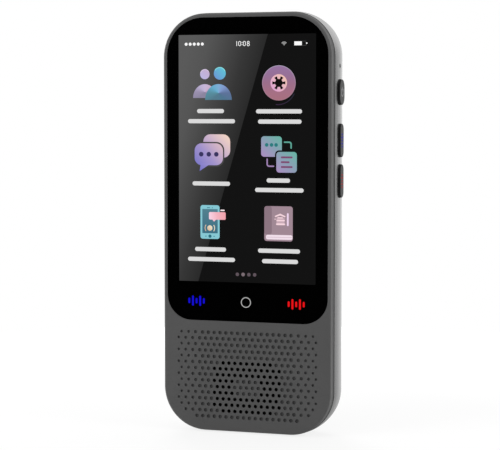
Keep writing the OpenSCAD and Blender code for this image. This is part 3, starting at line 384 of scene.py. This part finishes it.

# %% [markdown]
# The rounded rim of the long sides carries a painted highlight: there the paint is made a little
# lighter, which draws a fine light line along both sides, as a light from the side would. The place
# is found by the way the surface faces: between forwards and sideways, and not up or down.

# %% Painted highlight on the rim
RIM_HIGHLIGHT = "6C6C6C"  # painted highlight: the paint's colour where the highlight is brightest
RIM_FACING = [(0.05, "000000"), (0.25, "FFFFFF"), (0.8, "FFFFFF"), (0.95, "000000")]  # forward part
HIGHLIGHT_FROM, HIGHLIGHT_FULL = 0.45, 0.75  # sideways parts of the normal between which the painted highlight grows
rounded = add(tree, "ShaderNodeValToRGB", {"Fac": forwards.outputs["Value"]})
fill_ramp(rounded.color_ramp, RIM_FACING)
normal = add(tree, "ShaderNodeSeparateXYZ", {"Vector": facing.outputs["True Normal"]})
sideways = add(tree, "ShaderNodeMath", {0: normal.outputs["X"]}, operation="ABSOLUTE")
side_facing = add(tree, "ShaderNodeMapRange", {"Value": sideways.outputs[0]},
    {"From Min": HIGHLIGHT_FROM, "From Max": HIGHLIGHT_FULL})
highlight_share = add(tree, "ShaderNodeMath", {0: rounded.outputs["Color"], 1: side_facing.outputs["Result"]},
    operation="MULTIPLY")
rim_only = add(tree, "ShaderNodeMath", {0: highlight_share.outputs[0], 1: in_hole.outputs[0]},
    operation="SUBTRACT", use_clamp=True)
# the painted highlight is mixed into the paint's colour here
highlighted = add(tree, "ShaderNodeMix", {"Factor": rim_only.outputs[0],
    COLOUR_A: coloured.outputs[COLOUR_OUT]}, {COLOUR_B: linear(RIM_HIGHLIGHT)}, data_type="RGBA")
tree.links.new(highlighted.outputs[COLOUR_OUT], shader.inputs["Base Color"])
print("rim worn to", RIM_HIGHLIGHT)

# %% [markdown]
# The keys are polished on top only. Their sides keep the dull finish of the mould, so they stay
# black where the top shines. Whether a point is on the top shows in the way it faces.

# %% Dull sides of the keys
DULL = 0.8  # roughness of the sides
SIDE_END, TOP_START = 0.15, 0.6  # outward parts of the normal between which the polish sets in
tree = key_abs.node_tree
facing = add(tree, "ShaderNodeNewGeometry")
sideways = add(tree, "ShaderNodeVectorMath", {0: facing.outputs["True Normal"]}, {1: (1, 0, 0)},
    operation="DOT_PRODUCT")
polish = add(tree, "ShaderNodeMapRange", {"Value": sideways.outputs["Value"]},
    {"From Min": SIDE_END, "From Max": TOP_START})
shader = tree.nodes["Principled BSDF"]
satin = shader.inputs["Roughness"].links[0].from_socket
finish = add(tree, "ShaderNodeMix", {"Factor": polish.outputs["Result"], "B": satin},
    {"A": DULL}, data_type="FLOAT")
tree.links.new(finish.outputs["Result"], shader.inputs["Roughness"])
print("key sides have roughness", DULL)

# %% [markdown]
# The parts inside are dressed too, for anyone who opens the model: each board, can, chip and
# spring gets the surface of its own material.

# %% Inner surfaces
INNER = [  # name of the surface, colour, roughness, grain, relief, sockets, parts
    # zinc plated and blackened: almost black, with the highlights of metal
    ("black_zinc_plated_steel", "2C2D2F", 0.38, 0.2, 0.003, {"Metallic": 1.0}, ["case_screws"]),
    # zinc plated: light grey and a little dull
    ("zinc_plated_steel", "9A9CA0", 0.32, 0.2, 0.003, {"Metallic": 1.0},
        ["front_screws", "board_screws"]),
    # closed foam: black and matt, with fine cells
    ("acrylic_foam_tape", "232323", 0.85, 0.15, 0.02, {"IOR": 1.48},
        ["glass_adhesive", "display_tape", "speaker_gasket"]),
    # polished glass over dark cells: a dark mirror
    ("display_cell_glass", "15161A", 0.08, 3.0, 0.0, {"IOR": 1.52}, ["display_panel"]),
    # diffusing film: white and even
    ("white_backlight_film", "D8D8D2", 0.5, 0.5, 0.002, {"IOR": 1.58}, ["backlight_unit"]),
    # amber film over copper: warm brown, with a soft gloss
    ("polyimide_flex", "9A6424", 0.35, 0.6, 0.002, {"IOR": 1.7},
        ["display_flex", "touch_flex", "key_flex", "link_flex"]),
    # moulded acetal: off-white, like wax
    ("acetal_plunger", "E8E4DA", 0.4, 0.4, 0.002, {"IOR": 1.48},
        ["power_plunger", "blue_plunger", "red_plunger"]),
    # stamped and tinned: light metal with a slight haze
    ("tinned_switch_steel", "B9BBBE", 0.35, 0.3, 0.002, {"Metallic": 1.0}, ["key_switches"]),
    # lacquer over copper: green and glossy, a little uneven
    ("green_solder_mask", "1D5A36", 0.3, 1.2, 0.01, {"IOR": 1.55, "Coat Weight": 0.4},
        ["key_board", "main_board", "battery_board", "sub_board"]),
    # drawn and gold plated: pale gold
    ("gold_plated_microphone_can", "C8B878", 0.25, 0.2, 0.001, {"Metallic": 1.0},
        ["side_microphone", "top_microphone"]),
    # moulded rubber: black and dry
    ("silicone_rubber", "1C1C1C", 0.75, 0.3, 0.01, {"IOR": 1.41},
        ["side_mic_boot", "top_mic_boot"]),
    # rolled sheet: light grey with soft reflections
    ("nickel_silver_sheet", "B4B6B8", 0.28, 0.3, 0.001, {"Metallic": 1.0},
        ["main_shield", "radio_shield"]),
    # moulded epoxy with a quartz filler: charcoal and matt
    ("epoxy_chip_compound", "232323", 0.6, 0.1, 0.004, {"IOR": 1.55},
        ["processor_chip", "memory_chip", "radio_chip"]),
    # moulded polymer: ivory, half matt
    ("ivory_connector_polymer", "E6E2D6", 0.5, 0.2, 0.003, {"IOR": 1.6},
        ["flex_connectors", "battery_connector"]),
    # foil under clear film: silver, softly wrinkled
    ("aluminium_laminate_pouch", "9FA3A8", 0.42, 2.5, 0.05, {"Metallic": 0.9}, ["battery_cell"]),
    # extruded rubber: red and soft
    ("silicone_wire_sleeve", "B03030", 0.5, 0.3, 0.003, {"IOR": 1.41}, ["battery_lead"]),
    # coated film: pale yellow and smooth
    ("release_film_tape", "E4D9A8", 0.4, 0.5, 0.002, {"IOR": 1.48}, ["battery_tape"]),
    # deep-drawn steel: clean light metal
    ("stainless_steel_shell", "BFC1C4", 0.26, 0.15, 0.001, {"Metallic": 1.0}, ["socket_shell"]),
    # moulded polymer: black, half matt
    ("black_liquid_crystal_polymer", "1A1A1A", 0.55, 0.15, 0.003, {"IOR": 1.6}, ["socket_tongue"]),
    # moulded with short fibres: dark grey and dry
    ("glass_filled_nylon", "2B2B2B", 0.65, 0.15, 0.01, {"IOR": 1.53}, ["speaker_basket"]),
    # pressed cone: near black with a slight sheen
    ("mica_filled_cone", "141414", 0.55, 0.4, 0.01, {"IOR": 1.5}, ["speaker_cone"]),
    # nickel plated: bright grey
    ("nickel_plated_magnet", "9C9EA0", 0.25, 0.2, 0.001, {"Metallic": 1.0}, ["speaker_magnet"]),
    # gold plated: deep gold
    ("gold_plated_spring_bronze", "C9A227", 0.25, 0.1, 0.001, {"Metallic": 1.0},
        ["speaker_contacts", "antenna_spring"]),
    # laminated film: dark grey and smooth
    ("black_flexible_laminate", "3A3A3A", 0.5, 0.5, 0.004, {"IOR": 1.55}, ["antenna_flex"])]

for name, colour, roughness, grain, relief, sockets, members in INNER:
    dress(surface(name, colour, roughness, grain, relief, **sockets), *members)
print("inner surfaces:", len(INNER))

# %% [markdown]
# ## Speaker mesh
# Behind the drilled holes lies a black woven mesh that keeps dust out. Its threads are about
# 0.1 mm apart, drawn at 0.25 mm so that they can be seen through a hole. A weave is two sets of
# waves that pass over and under each other, which two sine bands at a right angle give.

# %% Woven mesh
THREAD, THREAD_RELIEF = 0.25, 0.05  # distance of two threads, and height of one, in mm
WAVE_LENGTH = 0.314  # length of one wave of a wave texture of scale 1
cloth = bpy.data.materials.new("woven_polyester_mesh")
cloth.use_nodes = True
tree = cloth.node_tree
tree.nodes.clear()
spot = add(tree, "ShaderNodeTexCoord")
bands = [add(tree, "ShaderNodeTexWave", {"Vector": spot.outputs["Object"]},
    {"Scale": WAVE_LENGTH / (THREAD * MM), "Distortion": 0.3}, bands_direction=axis) for axis in "XZ"]
crossing = add(tree, "ShaderNodeMath", {0: bands[0].outputs["Fac"], 1: bands[1].outputs["Fac"]},
    operation="MULTIPLY")
thread_tone = add(tree, "ShaderNodeValToRGB", {"Fac": crossing.outputs[0]})
fill_ramp(thread_tone.color_ramp, [(0.0, "020202"), (0.7, "101010"), (1.0, "1A1A1A")])
raised = add(tree, "ShaderNodeBump", {"Height": crossing.outputs[0]}, {"Distance": THREAD_RELIEF * MM})
shader = add(tree, "ShaderNodeBsdfPrincipled", {"Base Color": thread_tone.outputs["Color"],
    "Normal": raised.outputs["Normal"]}, {"Roughness": 0.8, "IOR": 1.57})
add(tree, "ShaderNodeOutputMaterial", {"Surface": shader.outputs[0]})
dress(cloth, "speaker_mesh")
print("mesh threads are drawn", THREAD, "mm apart")

# %% [markdown]
# ## Thin printed and lit shapes
# The picture on the display, the touch marks and the key signs are all flat shapes. Each is
# built as a real thin slab on what carries it, so it stays sharp from any distance. Shapes that
# overlap lie in layers, each a hundredth of a millimetre above the one below. An outline is a
# list of points in millimetres: small functions give the outlines, and `slab` extrudes any
# number of them into one piece.


# %% Outlines
def arc(x, z, radius, start, stop, steps=24, squash=1.0):
    """Points along an arc, angles in degrees, counter-clockwise from +X."""
    angles = [math.radians(start + (stop - start) * i / steps) for i in range(steps + 1)]
    return [(x + radius * math.cos(a), z + radius * squash * math.sin(a)) for a in angles]


def disc(x, z, radius):
    """Circle."""
    return arc(x, z, radius, 0, 360, 36)[:-1]


def panel(x0, x1, z0, z1, radius):
    """Rectangle with round corners."""
    corners = [(x1 - radius, z1 - radius, 0), (x0 + radius, z1 - radius, 90),
        (x0 + radius, z0 + radius, 180), (x1 - radius, z0 + radius, 270)]
    return [p for x, z, a in corners for p in arc(x, z, radius, a, a + 90, 6)]


def bar(x0, x1, z0, z1):
    """Bar with fully rounded ends."""
    return panel(x0, x1, z0, z1, 0.499 * min(x1 - x0, z1 - z0))


def band(x, z, radius, width, start, stop, steps=24):
    """Part of a ring."""
    outer = arc(x, z, radius, start, stop, steps)
    return outer + arc(x, z, radius - width, stop, start, steps)


def ring(x, z, radius, width):
    """Whole ring, as two halves."""
    return [band(x, z, radius, width, 0, 180), band(x, z, radius, width, 180, 360)]


print("a disc's outline has", len(disc(0, 0, 1)), "points")

# %% Slab maker
LAYER = 0.008  # height of one layer over the one below, in mm
ROOT = 0.004  # depth that every slab reaches into what carries it
glass_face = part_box("cover_glass")[0].y / MM
key_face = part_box("blue_talk_key")[1].x / MM


def on_glass(u, v, height):
    """Point on the glass: u to the right and v up, in mm."""
    return Vector((u, glass_face - height, v)) * MM


def on_key(u, v, height):
    """Point on a key's face: u to the rear and v up, in mm."""
    return Vector((key_face + height, u, v)) * MM


def slab(name, outlines, level, finish, place=on_glass, body="case"):
    """Extrudes outlines into one thin piece, level layers above the surface that carries it."""
    shape = bmesh.new()
    for outline in outlines:
        near = [shape.verts.new(place(u, v, level * LAYER)) for u, v in outline]
        far = [shape.verts.new(place(u, v, -ROOT)) for u, v in outline]
        shape.faces.new(near)
        shape.faces.new(far[::-1])
        for i in range(len(near)):
            j = (i + 1) % len(near)
            shape.faces.new((near[i], far[i], far[j], near[j]))
    bmesh.ops.recalc_face_normals(shape, faces=shape.faces)
    mesh = bpy.data.meshes.new(name)
    shape.to_mesh(mesh)
    shape.free()
    mesh.materials.append(finish)
    piece = bpy.data.objects.new(name, mesh)
    bpy.context.scene.collection.objects.link(piece)
    print(name, "has", len(mesh.polygons), "faces")
    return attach(piece, body)


print("glass face at y", round(glass_face, 3), "mm, key faces at x", round(key_face, 3), "mm")

# %% [markdown]
# A lit shape of the display gives off its colour instead of being lit, but the glass in front
# of it still has its gloss. So it is a black glossy surface with an emission, and its colour
# may run from one point to another, because the pictograms of such a menu are soft gradients.

# %% Lit shapes
GLASS_IOR, GLASS_ROUGHNESS = 1.51, 0.05


def lit(name, *colours, start=(0, 0), stop=(0, 1), around=None):
    """Glossy black that glows: one colour, a gradient from start to stop, (x, z) in mm, or one
    that runs counter-clockwise round a point from its left."""
    made = bpy.data.materials.new("lit_" + name)
    made.use_nodes = True
    tree = made.node_tree
    tree.nodes.clear()
    shader = add(tree, "ShaderNodeBsdfPrincipled", inputs={"Base Color": linear("000000"),
        "Roughness": GLASS_ROUGHNESS, "IOR": GLASS_IOR, "Emission Color": linear(colours[0]),
        "Emission Strength": 1.0})
    if len(colours) > 1:
        origin = Vector(((around or start)[0], 0, (around or start)[1])) * MM
        spot = add(tree, "ShaderNodeTexCoord")
        off = add(tree, "ShaderNodeVectorMath", {0: spot.outputs["Object"]}, {1: origin},
            operation="SUBTRACT")
        if around:
            parts = add(tree, "ShaderNodeSeparateXYZ", {"Vector": off.outputs[0]})
            turn = add(tree, "ShaderNodeMath", {0: parts.outputs["Z"], 1: parts.outputs["X"]},
                operation="ARCTAN2")
            share = add(tree, "ShaderNodeMath", {0: turn.outputs[0]}, {1: 1 / math.tau, 2: 0.5},
                operation="MULTIPLY_ADD").outputs[0]
        else:
            run = Vector((stop[0] - start[0], 0, stop[1] - start[1])) * MM
            share = add(tree, "ShaderNodeVectorMath", {0: off.outputs[0]},
                {1: run / run.length_squared}, operation="DOT_PRODUCT").outputs["Value"]
        ramp = add(tree, "ShaderNodeValToRGB", {"Fac": share})
        fill_ramp(ramp.color_ramp, [(i / (len(colours) - 1), c) for i, c in enumerate(colours)])
        tree.links.new(ramp.outputs["Color"], shader.inputs["Emission Color"])
    add(tree, "ShaderNodeOutputMaterial", {"Surface": shader.outputs[0]})
    return made


print("lit shapes have the roughness of the glass,", GLASS_ROUGHNESS)

# %% [markdown]
# ## Wallpaper and painted glare
# The wallpaper is a dark grey plane. Over its left part, along a slanting edge, lies a lighter
# plane that is a painted glare: a reflection on the cover glass, drawn into the display's light.
# It brightens with its distance from the edge. The lit area's size is that of the display panel
# less its borders.

# %% Display background
BORDER, FOOT_BORDER = 1.8, 6.0  # dark borders of the panel in mm: sides and top, and foot
low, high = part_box("display_panel")
LIT_X = high.x / MM - BORDER
LIT_Z0, LIT_Z1 = low.z / MM + FOOT_BORDER, high.z / MM - BORDER
print("lit area:", round(2 * LIT_X, 2), "by", round(LIT_Z1 - LIT_Z0, 2), "mm")
EDGE = [(7.86, LIT_Z1), (-18.2, LIT_Z0)]  # where the slanting edge meets the top and the foot
edge_way = Vector((EDGE[0][0] - EDGE[1][0], EDGE[0][1] - EDGE[1][1]))
across = Vector((-edge_way.y, edge_way.x)).normalized()  # from the edge into the painted glare
FAR = 27  # distance from the edge at which the painted glare is brightest

slab("display_background", [panel(-LIT_X, LIT_X, LIT_Z0, LIT_Z1, 0.3)], 1,
    lit("display_dark_plane", "131313"))
# painted glare: a reflection on the cover glass, drawn as a lighter gradient in the display
glare_plane = lit("display_painted_glare", "2A2A2A", "373737", "474747", "555555", "5A5A5A",
    start=EDGE[1], stop=(EDGE[1][0] + across.x * FAR, EDGE[1][1] + across.y * FAR))
slab("display_glare_part", [[(-LIT_X, LIT_Z0), EDGE[1], EDGE[0], (-LIT_X, LIT_Z1)]], 2, glare_plane)

# %% [markdown]
# ## Status line
# Along the top run the signal dots, the time, and the signs for the wireless network and the
# battery. The time is plain digits, each built from bars and rings.

# %% Status line
STATUS_Z = 138.9  # height of the line's middle
DOT_X, DOT_STEP = -22.64, 1.53  # the first signal dot, and the distance to the next
white_sign = lit("display_white", "FAFAFA")
slab("signal_dots", [disc(DOT_X + DOT_STEP * i, STATUS_Z, 0.55) for i in range(5)], 3, white_sign)

DIGIT_W, DIGIT_H, STROKE = 1.0, 1.75, 0.22
DIGIT_FOOT, DIGIT_TOP = STATUS_Z - DIGIT_H / 2, STATUS_Z + DIGIT_H / 2


def zero(x):
    """The digit 0 from its left edge, as two halves of a tall ring."""
    outer = panel(x, x + DIGIT_W, DIGIT_FOOT, DIGIT_TOP, 0.49)
    inner = panel(x + STROKE, x + DIGIT_W - STROKE, DIGIT_FOOT + STROKE, DIGIT_TOP - STROKE, 0.23)
    half = len(outer) // 2
    return [outer[:half + 1] + inner[:half + 1][::-1],
        outer[half:] + outer[:1] + inner[:1] + inner[half:][::-1]]


clock = [bar(-3.75, -3.75 + STROKE, DIGIT_FOOT, DIGIT_TOP)]
clock += zero(-3.05)
clock += [disc(-1.65, STATUS_Z + 0.4, 0.17), disc(-1.65, STATUS_Z - 0.4, 0.17)]
clock += zero(-1.3)
clock += ring(0.65, STATUS_Z + 0.42, 0.46, STROKE) + ring(0.65, STATUS_Z - 0.42, 0.52, STROKE)
slab("clock_digits", clock, 3, white_sign)

WIRELESS_X = 13.83
wireless = [band(WIRELESS_X, STATUS_Z - 0.72, r, 0.2, 38, 142, 10) for r in (0.62, 0.93, 1.24)]
slab("wireless_sign", wireless + [disc(WIRELESS_X, STATUS_Z - 0.6, 0.2)], 3,
    lit("display_grey", "A8A8A8"))

BATTERY_Z = STATUS_Z - 0.2
slab("battery_charge", [panel(17.55, 20.28, BATTERY_Z - 0.64, BATTERY_Z + 0.72, 0.08)], 3, white_sign)
slab("battery_case", [bar(20.3, 21.8, BATTERY_Z + off - 0.06, BATTERY_Z + off + 0.06)
    for off in (-0.7, 0.8)] + [bar(21.72, 21.84, BATTERY_Z - 0.7, BATTERY_Z + 0.8)], 3,
    lit("display_dark_grey", "4C4C4C"))
slab("battery_nub", [[(21.88, BATTERY_Z - 0.26), (22.36, BATTERY_Z), (22.36, BATTERY_Z + 0.16),
    (21.88, BATTERY_Z + 0.38)]], 3, white_sign)

# %% [markdown]
# ## Pictograms
# Six functions are offered, each with a pictogram: two people for a talk in a group, a tape
# disc for recording, a bubble for a chat, two cards for typed text, a phone for a call and a
# book for lessons. All are flat shapes in layers, the way a designer stacks them. They are drawn
# straight on the glass, in millimetres: x from its middle line and z from the device's foot.

# %% Two people
# Each body has a gradient round a point, given in eighths of a turn from its left over its foot.
BEHIND_SHADES = ("9A90AE", "8B859F", "8B859F", "8B859F", "B090B8", "C9AFCB", "C6B6D8", "BCB0D2",
    "9A90AE")
FRONT_SHADES = ("588E9E", "547A8C", "527A8E", "507590", "5E729A", "7F98CB", "80ADD6", "68AECF",
    "588E9E")
slab("person_behind_head", [disc(-15.59, 128.22, 1.78)], 3,
    lit("lilac", "BEB6E2", "C4AED2", start=(-16.6, 127), stop=(-14.6, 129.4)))
slab("person_behind_body", [arc(-15.6, 119.8, 4.45, 0, 180, 32, 1.1)], 3,
    lit("lilac_round", *BEHIND_SHADES, around=(-15.6, 121.9)))
slab("person_behind_rim", [band(-15.59, 128.22, 1.8, 0.26, 30, 165, 16)], 4,
    lit("pale_lilac", "DACCE6"))
slab("person_in_front_head", [disc(-9.97, 128.47, 2.23)], 4,
    lit("sky_blue", "6C98D6", "5FC4D6", start=(-11.6, 126.8), stop=(-8.2, 130.2)))
slab("person_in_front_rim", [band(-9.97, 128.47, 2.25, 0.3, 20, 150, 16)], 5,
    lit("pale_turquoise", "88DEE2"))
slab("person_in_front_body", [arc(-10.5, 119.1, 5.0, 0, 180, 36, 1.12)], 4,
    lit("blue_round", *FRONT_SHADES, around=(-10.4, 121.5)))

# %% Tape disc
DISC_X, DISC_Z, DISC_R = 11.92, 125.0, 6.15
slab("tape_disc", [disc(DISC_X, DISC_Z, DISC_R)], 3,
    lit("purple_to_rose", "A8707F", "A57085", "9C6F8B", "967198", "9874A2",
        start=(DISC_X, DISC_Z - DISC_R), stop=(DISC_X, DISC_Z + DISC_R)))
slab("tape_rim", ring(DISC_X, DISC_Z, DISC_R, 0.24), 4,
    lit("pale_rim", "A87888", "A886A0", "AAA0B8", start=(DISC_X, DISC_Z - DISC_R),
        stop=(DISC_X, DISC_Z + DISC_R)))
slab("tape_disc_shadow", [band(DISC_X - 0.33, DISC_Z - 1.06, 6.7, 0.34, -97, -24, 24)], 3,
    lit("deep_violet", "382840", "2A2A38", start=(11, 118), stop=(17, 121)))
slab("tape_label", [disc(DISC_X - 0.03, DISC_Z, 3.05)], 4,
    lit("pink_to_peach", "E0A4D0", "F0C4B4", start=(9.5, 123), stop=(14.2, 127.2)))
spokes = [disc(DISC_X, DISC_Z, 1.42)]
SPOKE = [(1.2, -0.3), (2.4, -0.56), (2.4, 0.56), (1.2, 0.3)]  # along and across one spoke
for turn in range(0, 360, 60):
    c, s = math.cos(math.radians(turn)), math.sin(math.radians(turn))
    spokes.append([(DISC_X + a * c - b * s, DISC_Z + a * s + b * c) for a, b in SPOKE])
slab("tape_hub", spokes, 5, lit("hub_black", "120D0D"))

# %% Chat bubbles
slab("chat_bubble_behind", [panel(-16.2, -6.1, 98.6, 106.9, 2.6)], 3,
    lit("peach_to_lilac", "9C90C8", "C8AFCB", "F0D2C4", start=(-16, 99), stop=(-8, 107)))
tail = [(-17.2, 96.5), (-13.4, 96.5), (-17.6, 93.8)]
slab("chat_bubble_gap", [panel(-20.0, -8.3, 95.4, 104.2, 2.9)], 4, lit("gap_grey", "474747"))
slab("chat_bubble_in_front", [panel(-19.5, -8.8, 95.9, 103.7, 2.6), tail], 5,
    lit("indigo_to_pink", "7474C8", "A394CC", "DDBCC4", start=(-19, 95), stop=(-9.5, 103.5)))
slab("chat_dots", [disc(x, 99.8, 0.85) for x in (-17.0, -14.15, -11.3)], 6, lit("ink", "3A3560"))

# %% Two cards
CARD_COLOURS = ("A890C0", "8AA0B4", "68B4A4")
slab("card_behind", [panel(5.42, 13.04, 99.08, 106.3, 1.1)], 3,
    lit("lilac_to_teal_behind", *CARD_COLOURS, start=(7, 99), stop=(12.6, 106)))
slab("card_gap", [panel(10.52, 19.1, 93.0, 101.38, 1.5)], 4, lit("gap_black", "131313"))
slab("card_in_front", [panel(11.04, 18.55, 93.55, 100.84, 1.1)], 5,
    lit("lilac_to_teal_in_front", *CARD_COLOURS, start=(12, 93.5), stop=(18, 100.8)))
slab("card_dots", [disc(x, 103.26, 0.66) for x in (7.47, 9.26, 10.94)], 4, lit("deep_teal", "2C7C7E"))
slab("card_lines", [bar(12.7, 17.0, 98.6, 99.25), bar(12.7, 15.9, 96.9, 97.55),
    bar(12.7, 17.0, 95.2, 95.85)], 6, lit("plum", "7E4A70"))
LINE = 0.5  # width of the two lines that link the cards
slab("card_link_right", [bar(13.75, 15.95, 104.0, 104.0 + LINE),
    band(15.7, 103.5, 1.0, LINE, 0, 90, 8), bar(16.2, 16.2 + LINE, 101.95, 103.7)], 3,
    lit("link_teal", "5FA898"))
slab("card_link_left", [bar(7.4, 7.4 + LINE, 96.4, 98.5), band(8.4, 96.5, 1.0, LINE, 180, 270, 8),
    bar(8.2, 10.25, 95.5, 95.5 + LINE)], 3, lit("link_lilac", "A184B4"))

# %% Phone
slab("phone_body", [panel(-17.34, -10.12, 69.58, 81.64, 0.9)], 3, lit("pale_cyan", "86C8D4"))
slab("phone_screen", [panel(-16.64, -10.82, 71.6, 80.25, 0.15)], 4,
    lit("screen_teal", "3E6E82", "52808F", start=(0, 71.6), stop=(0, 80)))
slab("phone_details", [bar(-14.9, -13.7, 80.6, 80.85), disc(-12.85, 80.72, 0.16),
    disc(-13.75, 70.55, 0.6), bar(-15.6, -14.95, 70.4, 70.65), bar(-12.5, -11.85, 70.4, 70.65)], 4,
    lit("screen_petrol", "2F7080"))
slab("phone_bubble", [panel(-14.12, -7.82, 76.5, 79.2, 0.45),
    [(-12.9, 76.6), (-11.4, 76.6), (-12.2, 75.75)]], 5,
    lit("rose_pink", "FAD4E6", "F4B4C0", "F2A2AC", start=(-14, 77), stop=(-7.8, 78)))
slab("phone_dash", [bar(-9.8, -8.2, 79.6, 80.1)], 5, lit("dash_white", "F6E6EA"))
slab("phone_voice", [disc(-13.79, 73.46, 0.98), band(-13.79, 73.46, 1.95, 0.28, -38, 38, 10),
    band(-13.79, 73.46, 1.95, 0.28, 142, 218, 10)], 5,
    lit("warm_cream", "D8BC9C", "F4E6CC", start=(-14.6, 72.8), stop=(-13, 74.2)))

# %% Book
slab("book_cover", [panel(6.6, 17.08, 69.32, 81.68, 0.9)], 3, lit("mauve", "A08894"))
slab("book_spine", [panel(6.6, 9.4, 71.6, 81.68, 0.9)], 4, lit("mauve_shade", "8C7581"))
slab("book_pages", [panel(7.25, 17.0, 69.9, 71.54, 0.6)], 4, lit("page_white", "F2E0EC"))
slab("book_page_line", [bar(7.6, 16.8, 70.6, 70.8)], 5, lit("page_shade", "D0B8C6"))
slab("book_emblem_shade", [panel(11.1, 14.1, 75.4, 77.6, 0.1)], 4, lit("emblem_shade", "C8AAB6"))
slab("book_emblem", [[(10.45, 78.2), (10.7, 77.8), (12.45, 78.45), (14.2, 77.8), (14.45, 78.2),
    (12.45, 79.1)], bar(11.45, 13.5, 77.4, 77.8), bar(11.1, 14.2, 76.4, 76.9),
    bar(10.95, 14.3, 75.02, 75.65), disc(10.6, 77.1, 0.22)], 5, lit("emblem_pink", "F6D6DE"))
slab("book_bookmark", [bar(14.95, 15.6, 74.75, 79.3)], 4, lit("bookmark_lilac", "EFD5EE"))

# %% [markdown]
# ## Captions
# Each pictogram has a caption of one or two lines. They stand as plain rounded bars in the
# place and width of the lines, which is how a designer draws a caption before it is written.

# %% Captions
CAPTIONS = [  # left, right, top and foot of each line, in mm
    (-18.56, -8.4, 116.1, 114.2), (-21.98, -4.28, 112.5, 110.6), (3.52, 20.41, 116.0, 114.1),
    (4.26, 20.24, 112.4, 110.5), (-20.33, -6.17, 90.3, 88.4), (7.46, 16.07, 91.7, 89.8),
    (3.16, 21.05, 88.3, 86.4), (-19.43, -7.7, 66.8, 64.9), (-22.11, -4.32, 63.2, 61.3),
    (4.28, 19.78, 66.8, 64.9), (5.77, 19.06, 63.1, 61.2)]
TRIM = 0.2  # by which a bar is lower than its line, above and below
slab("captions", [bar(left, right, foot + TRIM, top - TRIM) for left, right, top, foot in CAPTIONS],
    3, lit("display_soft_white", "DADADA"))

PAGE_X, PAGE_Z, PAGE_STEP = -3.45, 57.15, 2.157  # the first page dot, and the distance to the next
slab("page_dots", [disc(PAGE_X + PAGE_STEP * i, PAGE_Z, 0.64) for i in (0, 2, 3)], 3,
    lit("page_dot_dim", "60545B"))
slab("page_dot_now", [disc(PAGE_X + PAGE_STEP, PAGE_Z, 0.66)], 3,
    lit("page_dot_bright", "7C6E74"))

# %% [markdown]
# ## Touch marks
# Below the display the glass carries a ring for "home" and a small sound wave for each of the
# two speakers, blue and red like the signs on the talk keys. They are windows in the black
# print, lit from behind.

# %% Touch marks
TOUCH_WAVE = (1.38, 0.74, 2.0, 3.7)  # pitch and width of the bars, short and tall, in mm


def sound_wave(x, z, pitch, width, short, tall):
    """Five rounded bars, short and tall in turn."""
    heights = [short, tall, short, tall, short]
    return [bar(x + (i - 2) * pitch - width / 2, x + (i - 2) * pitch + width / 2,
        z - h / 2, z + h / 2) for i, h in enumerate(heights)]


slab("home_ring", ring(-0.25, 47.18, 1.87, 0.29), 1, lit("ring_grey", "B4B4B4"))
slab("blue_touch_mark", sound_wave(-18.9, 47.2, *TOUCH_WAVE), 1, lit("glow_blue", "1410D2"))
slab("red_touch_mark", sound_wave(18.4, 47.15, *TOUCH_WAVE), 1, lit("glow_red", "E81418"))

# %% [markdown]
# ## Signs on the keys
# The same sound wave is printed on each talk key in its colour, turned along the key, and the
# power key has the usual broken ring. Pad printing leaves a film of ink on the surface, dull and
# even, so these are slabs a hundredth of a millimetre high on the keys, and they ride on the
# key's body: when the key goes in, its sign goes with it.

# %% Key signs
KEY_WAVE = (1.08, 0.64, 2.2, 3.5)  # as TOUCH_WAVE
POWER_R, POWER_LINE = 1.6, 0.34  # radius of the broken ring, and width of its lines, in mm
blue_ink = surface("blue_pad_print", "140E90", 0.45, 0.2, 0.001, IOR=1.5)
red_ink = surface("red_pad_print", "8E1A1E", 0.45, 0.2, 0.001, IOR=1.5)
grey_ink = surface("grey_pad_print", "A6A6A8", 0.45, 0.2, 0.001, IOR=1.5)
for node, ink, body in (("blue_talk_key", blue_ink, "blue_talk_key_body"),
        ("red_talk_key", red_ink, "red_talk_key_body")):
    low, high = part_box(node)
    middle = (low + high) / 2 / MM
    wave = [[(v, u) for u, v in outline] for outline in
        sound_wave(middle.z, middle.y, *KEY_WAVE)]
    slab(node + "_sign", wave, 1, ink, on_key, body)
low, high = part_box("power_key")
middle = (low + high) / 2 / MM
slab("power_key_sign", [band(middle.y, middle.z, POWER_R, POWER_LINE, 125, 415),
    bar(middle.y - POWER_LINE / 2, middle.y + POWER_LINE / 2, middle.z + 0.2, middle.z + 1.8)], 1,
    grey_ink, on_key, "power_key_body")
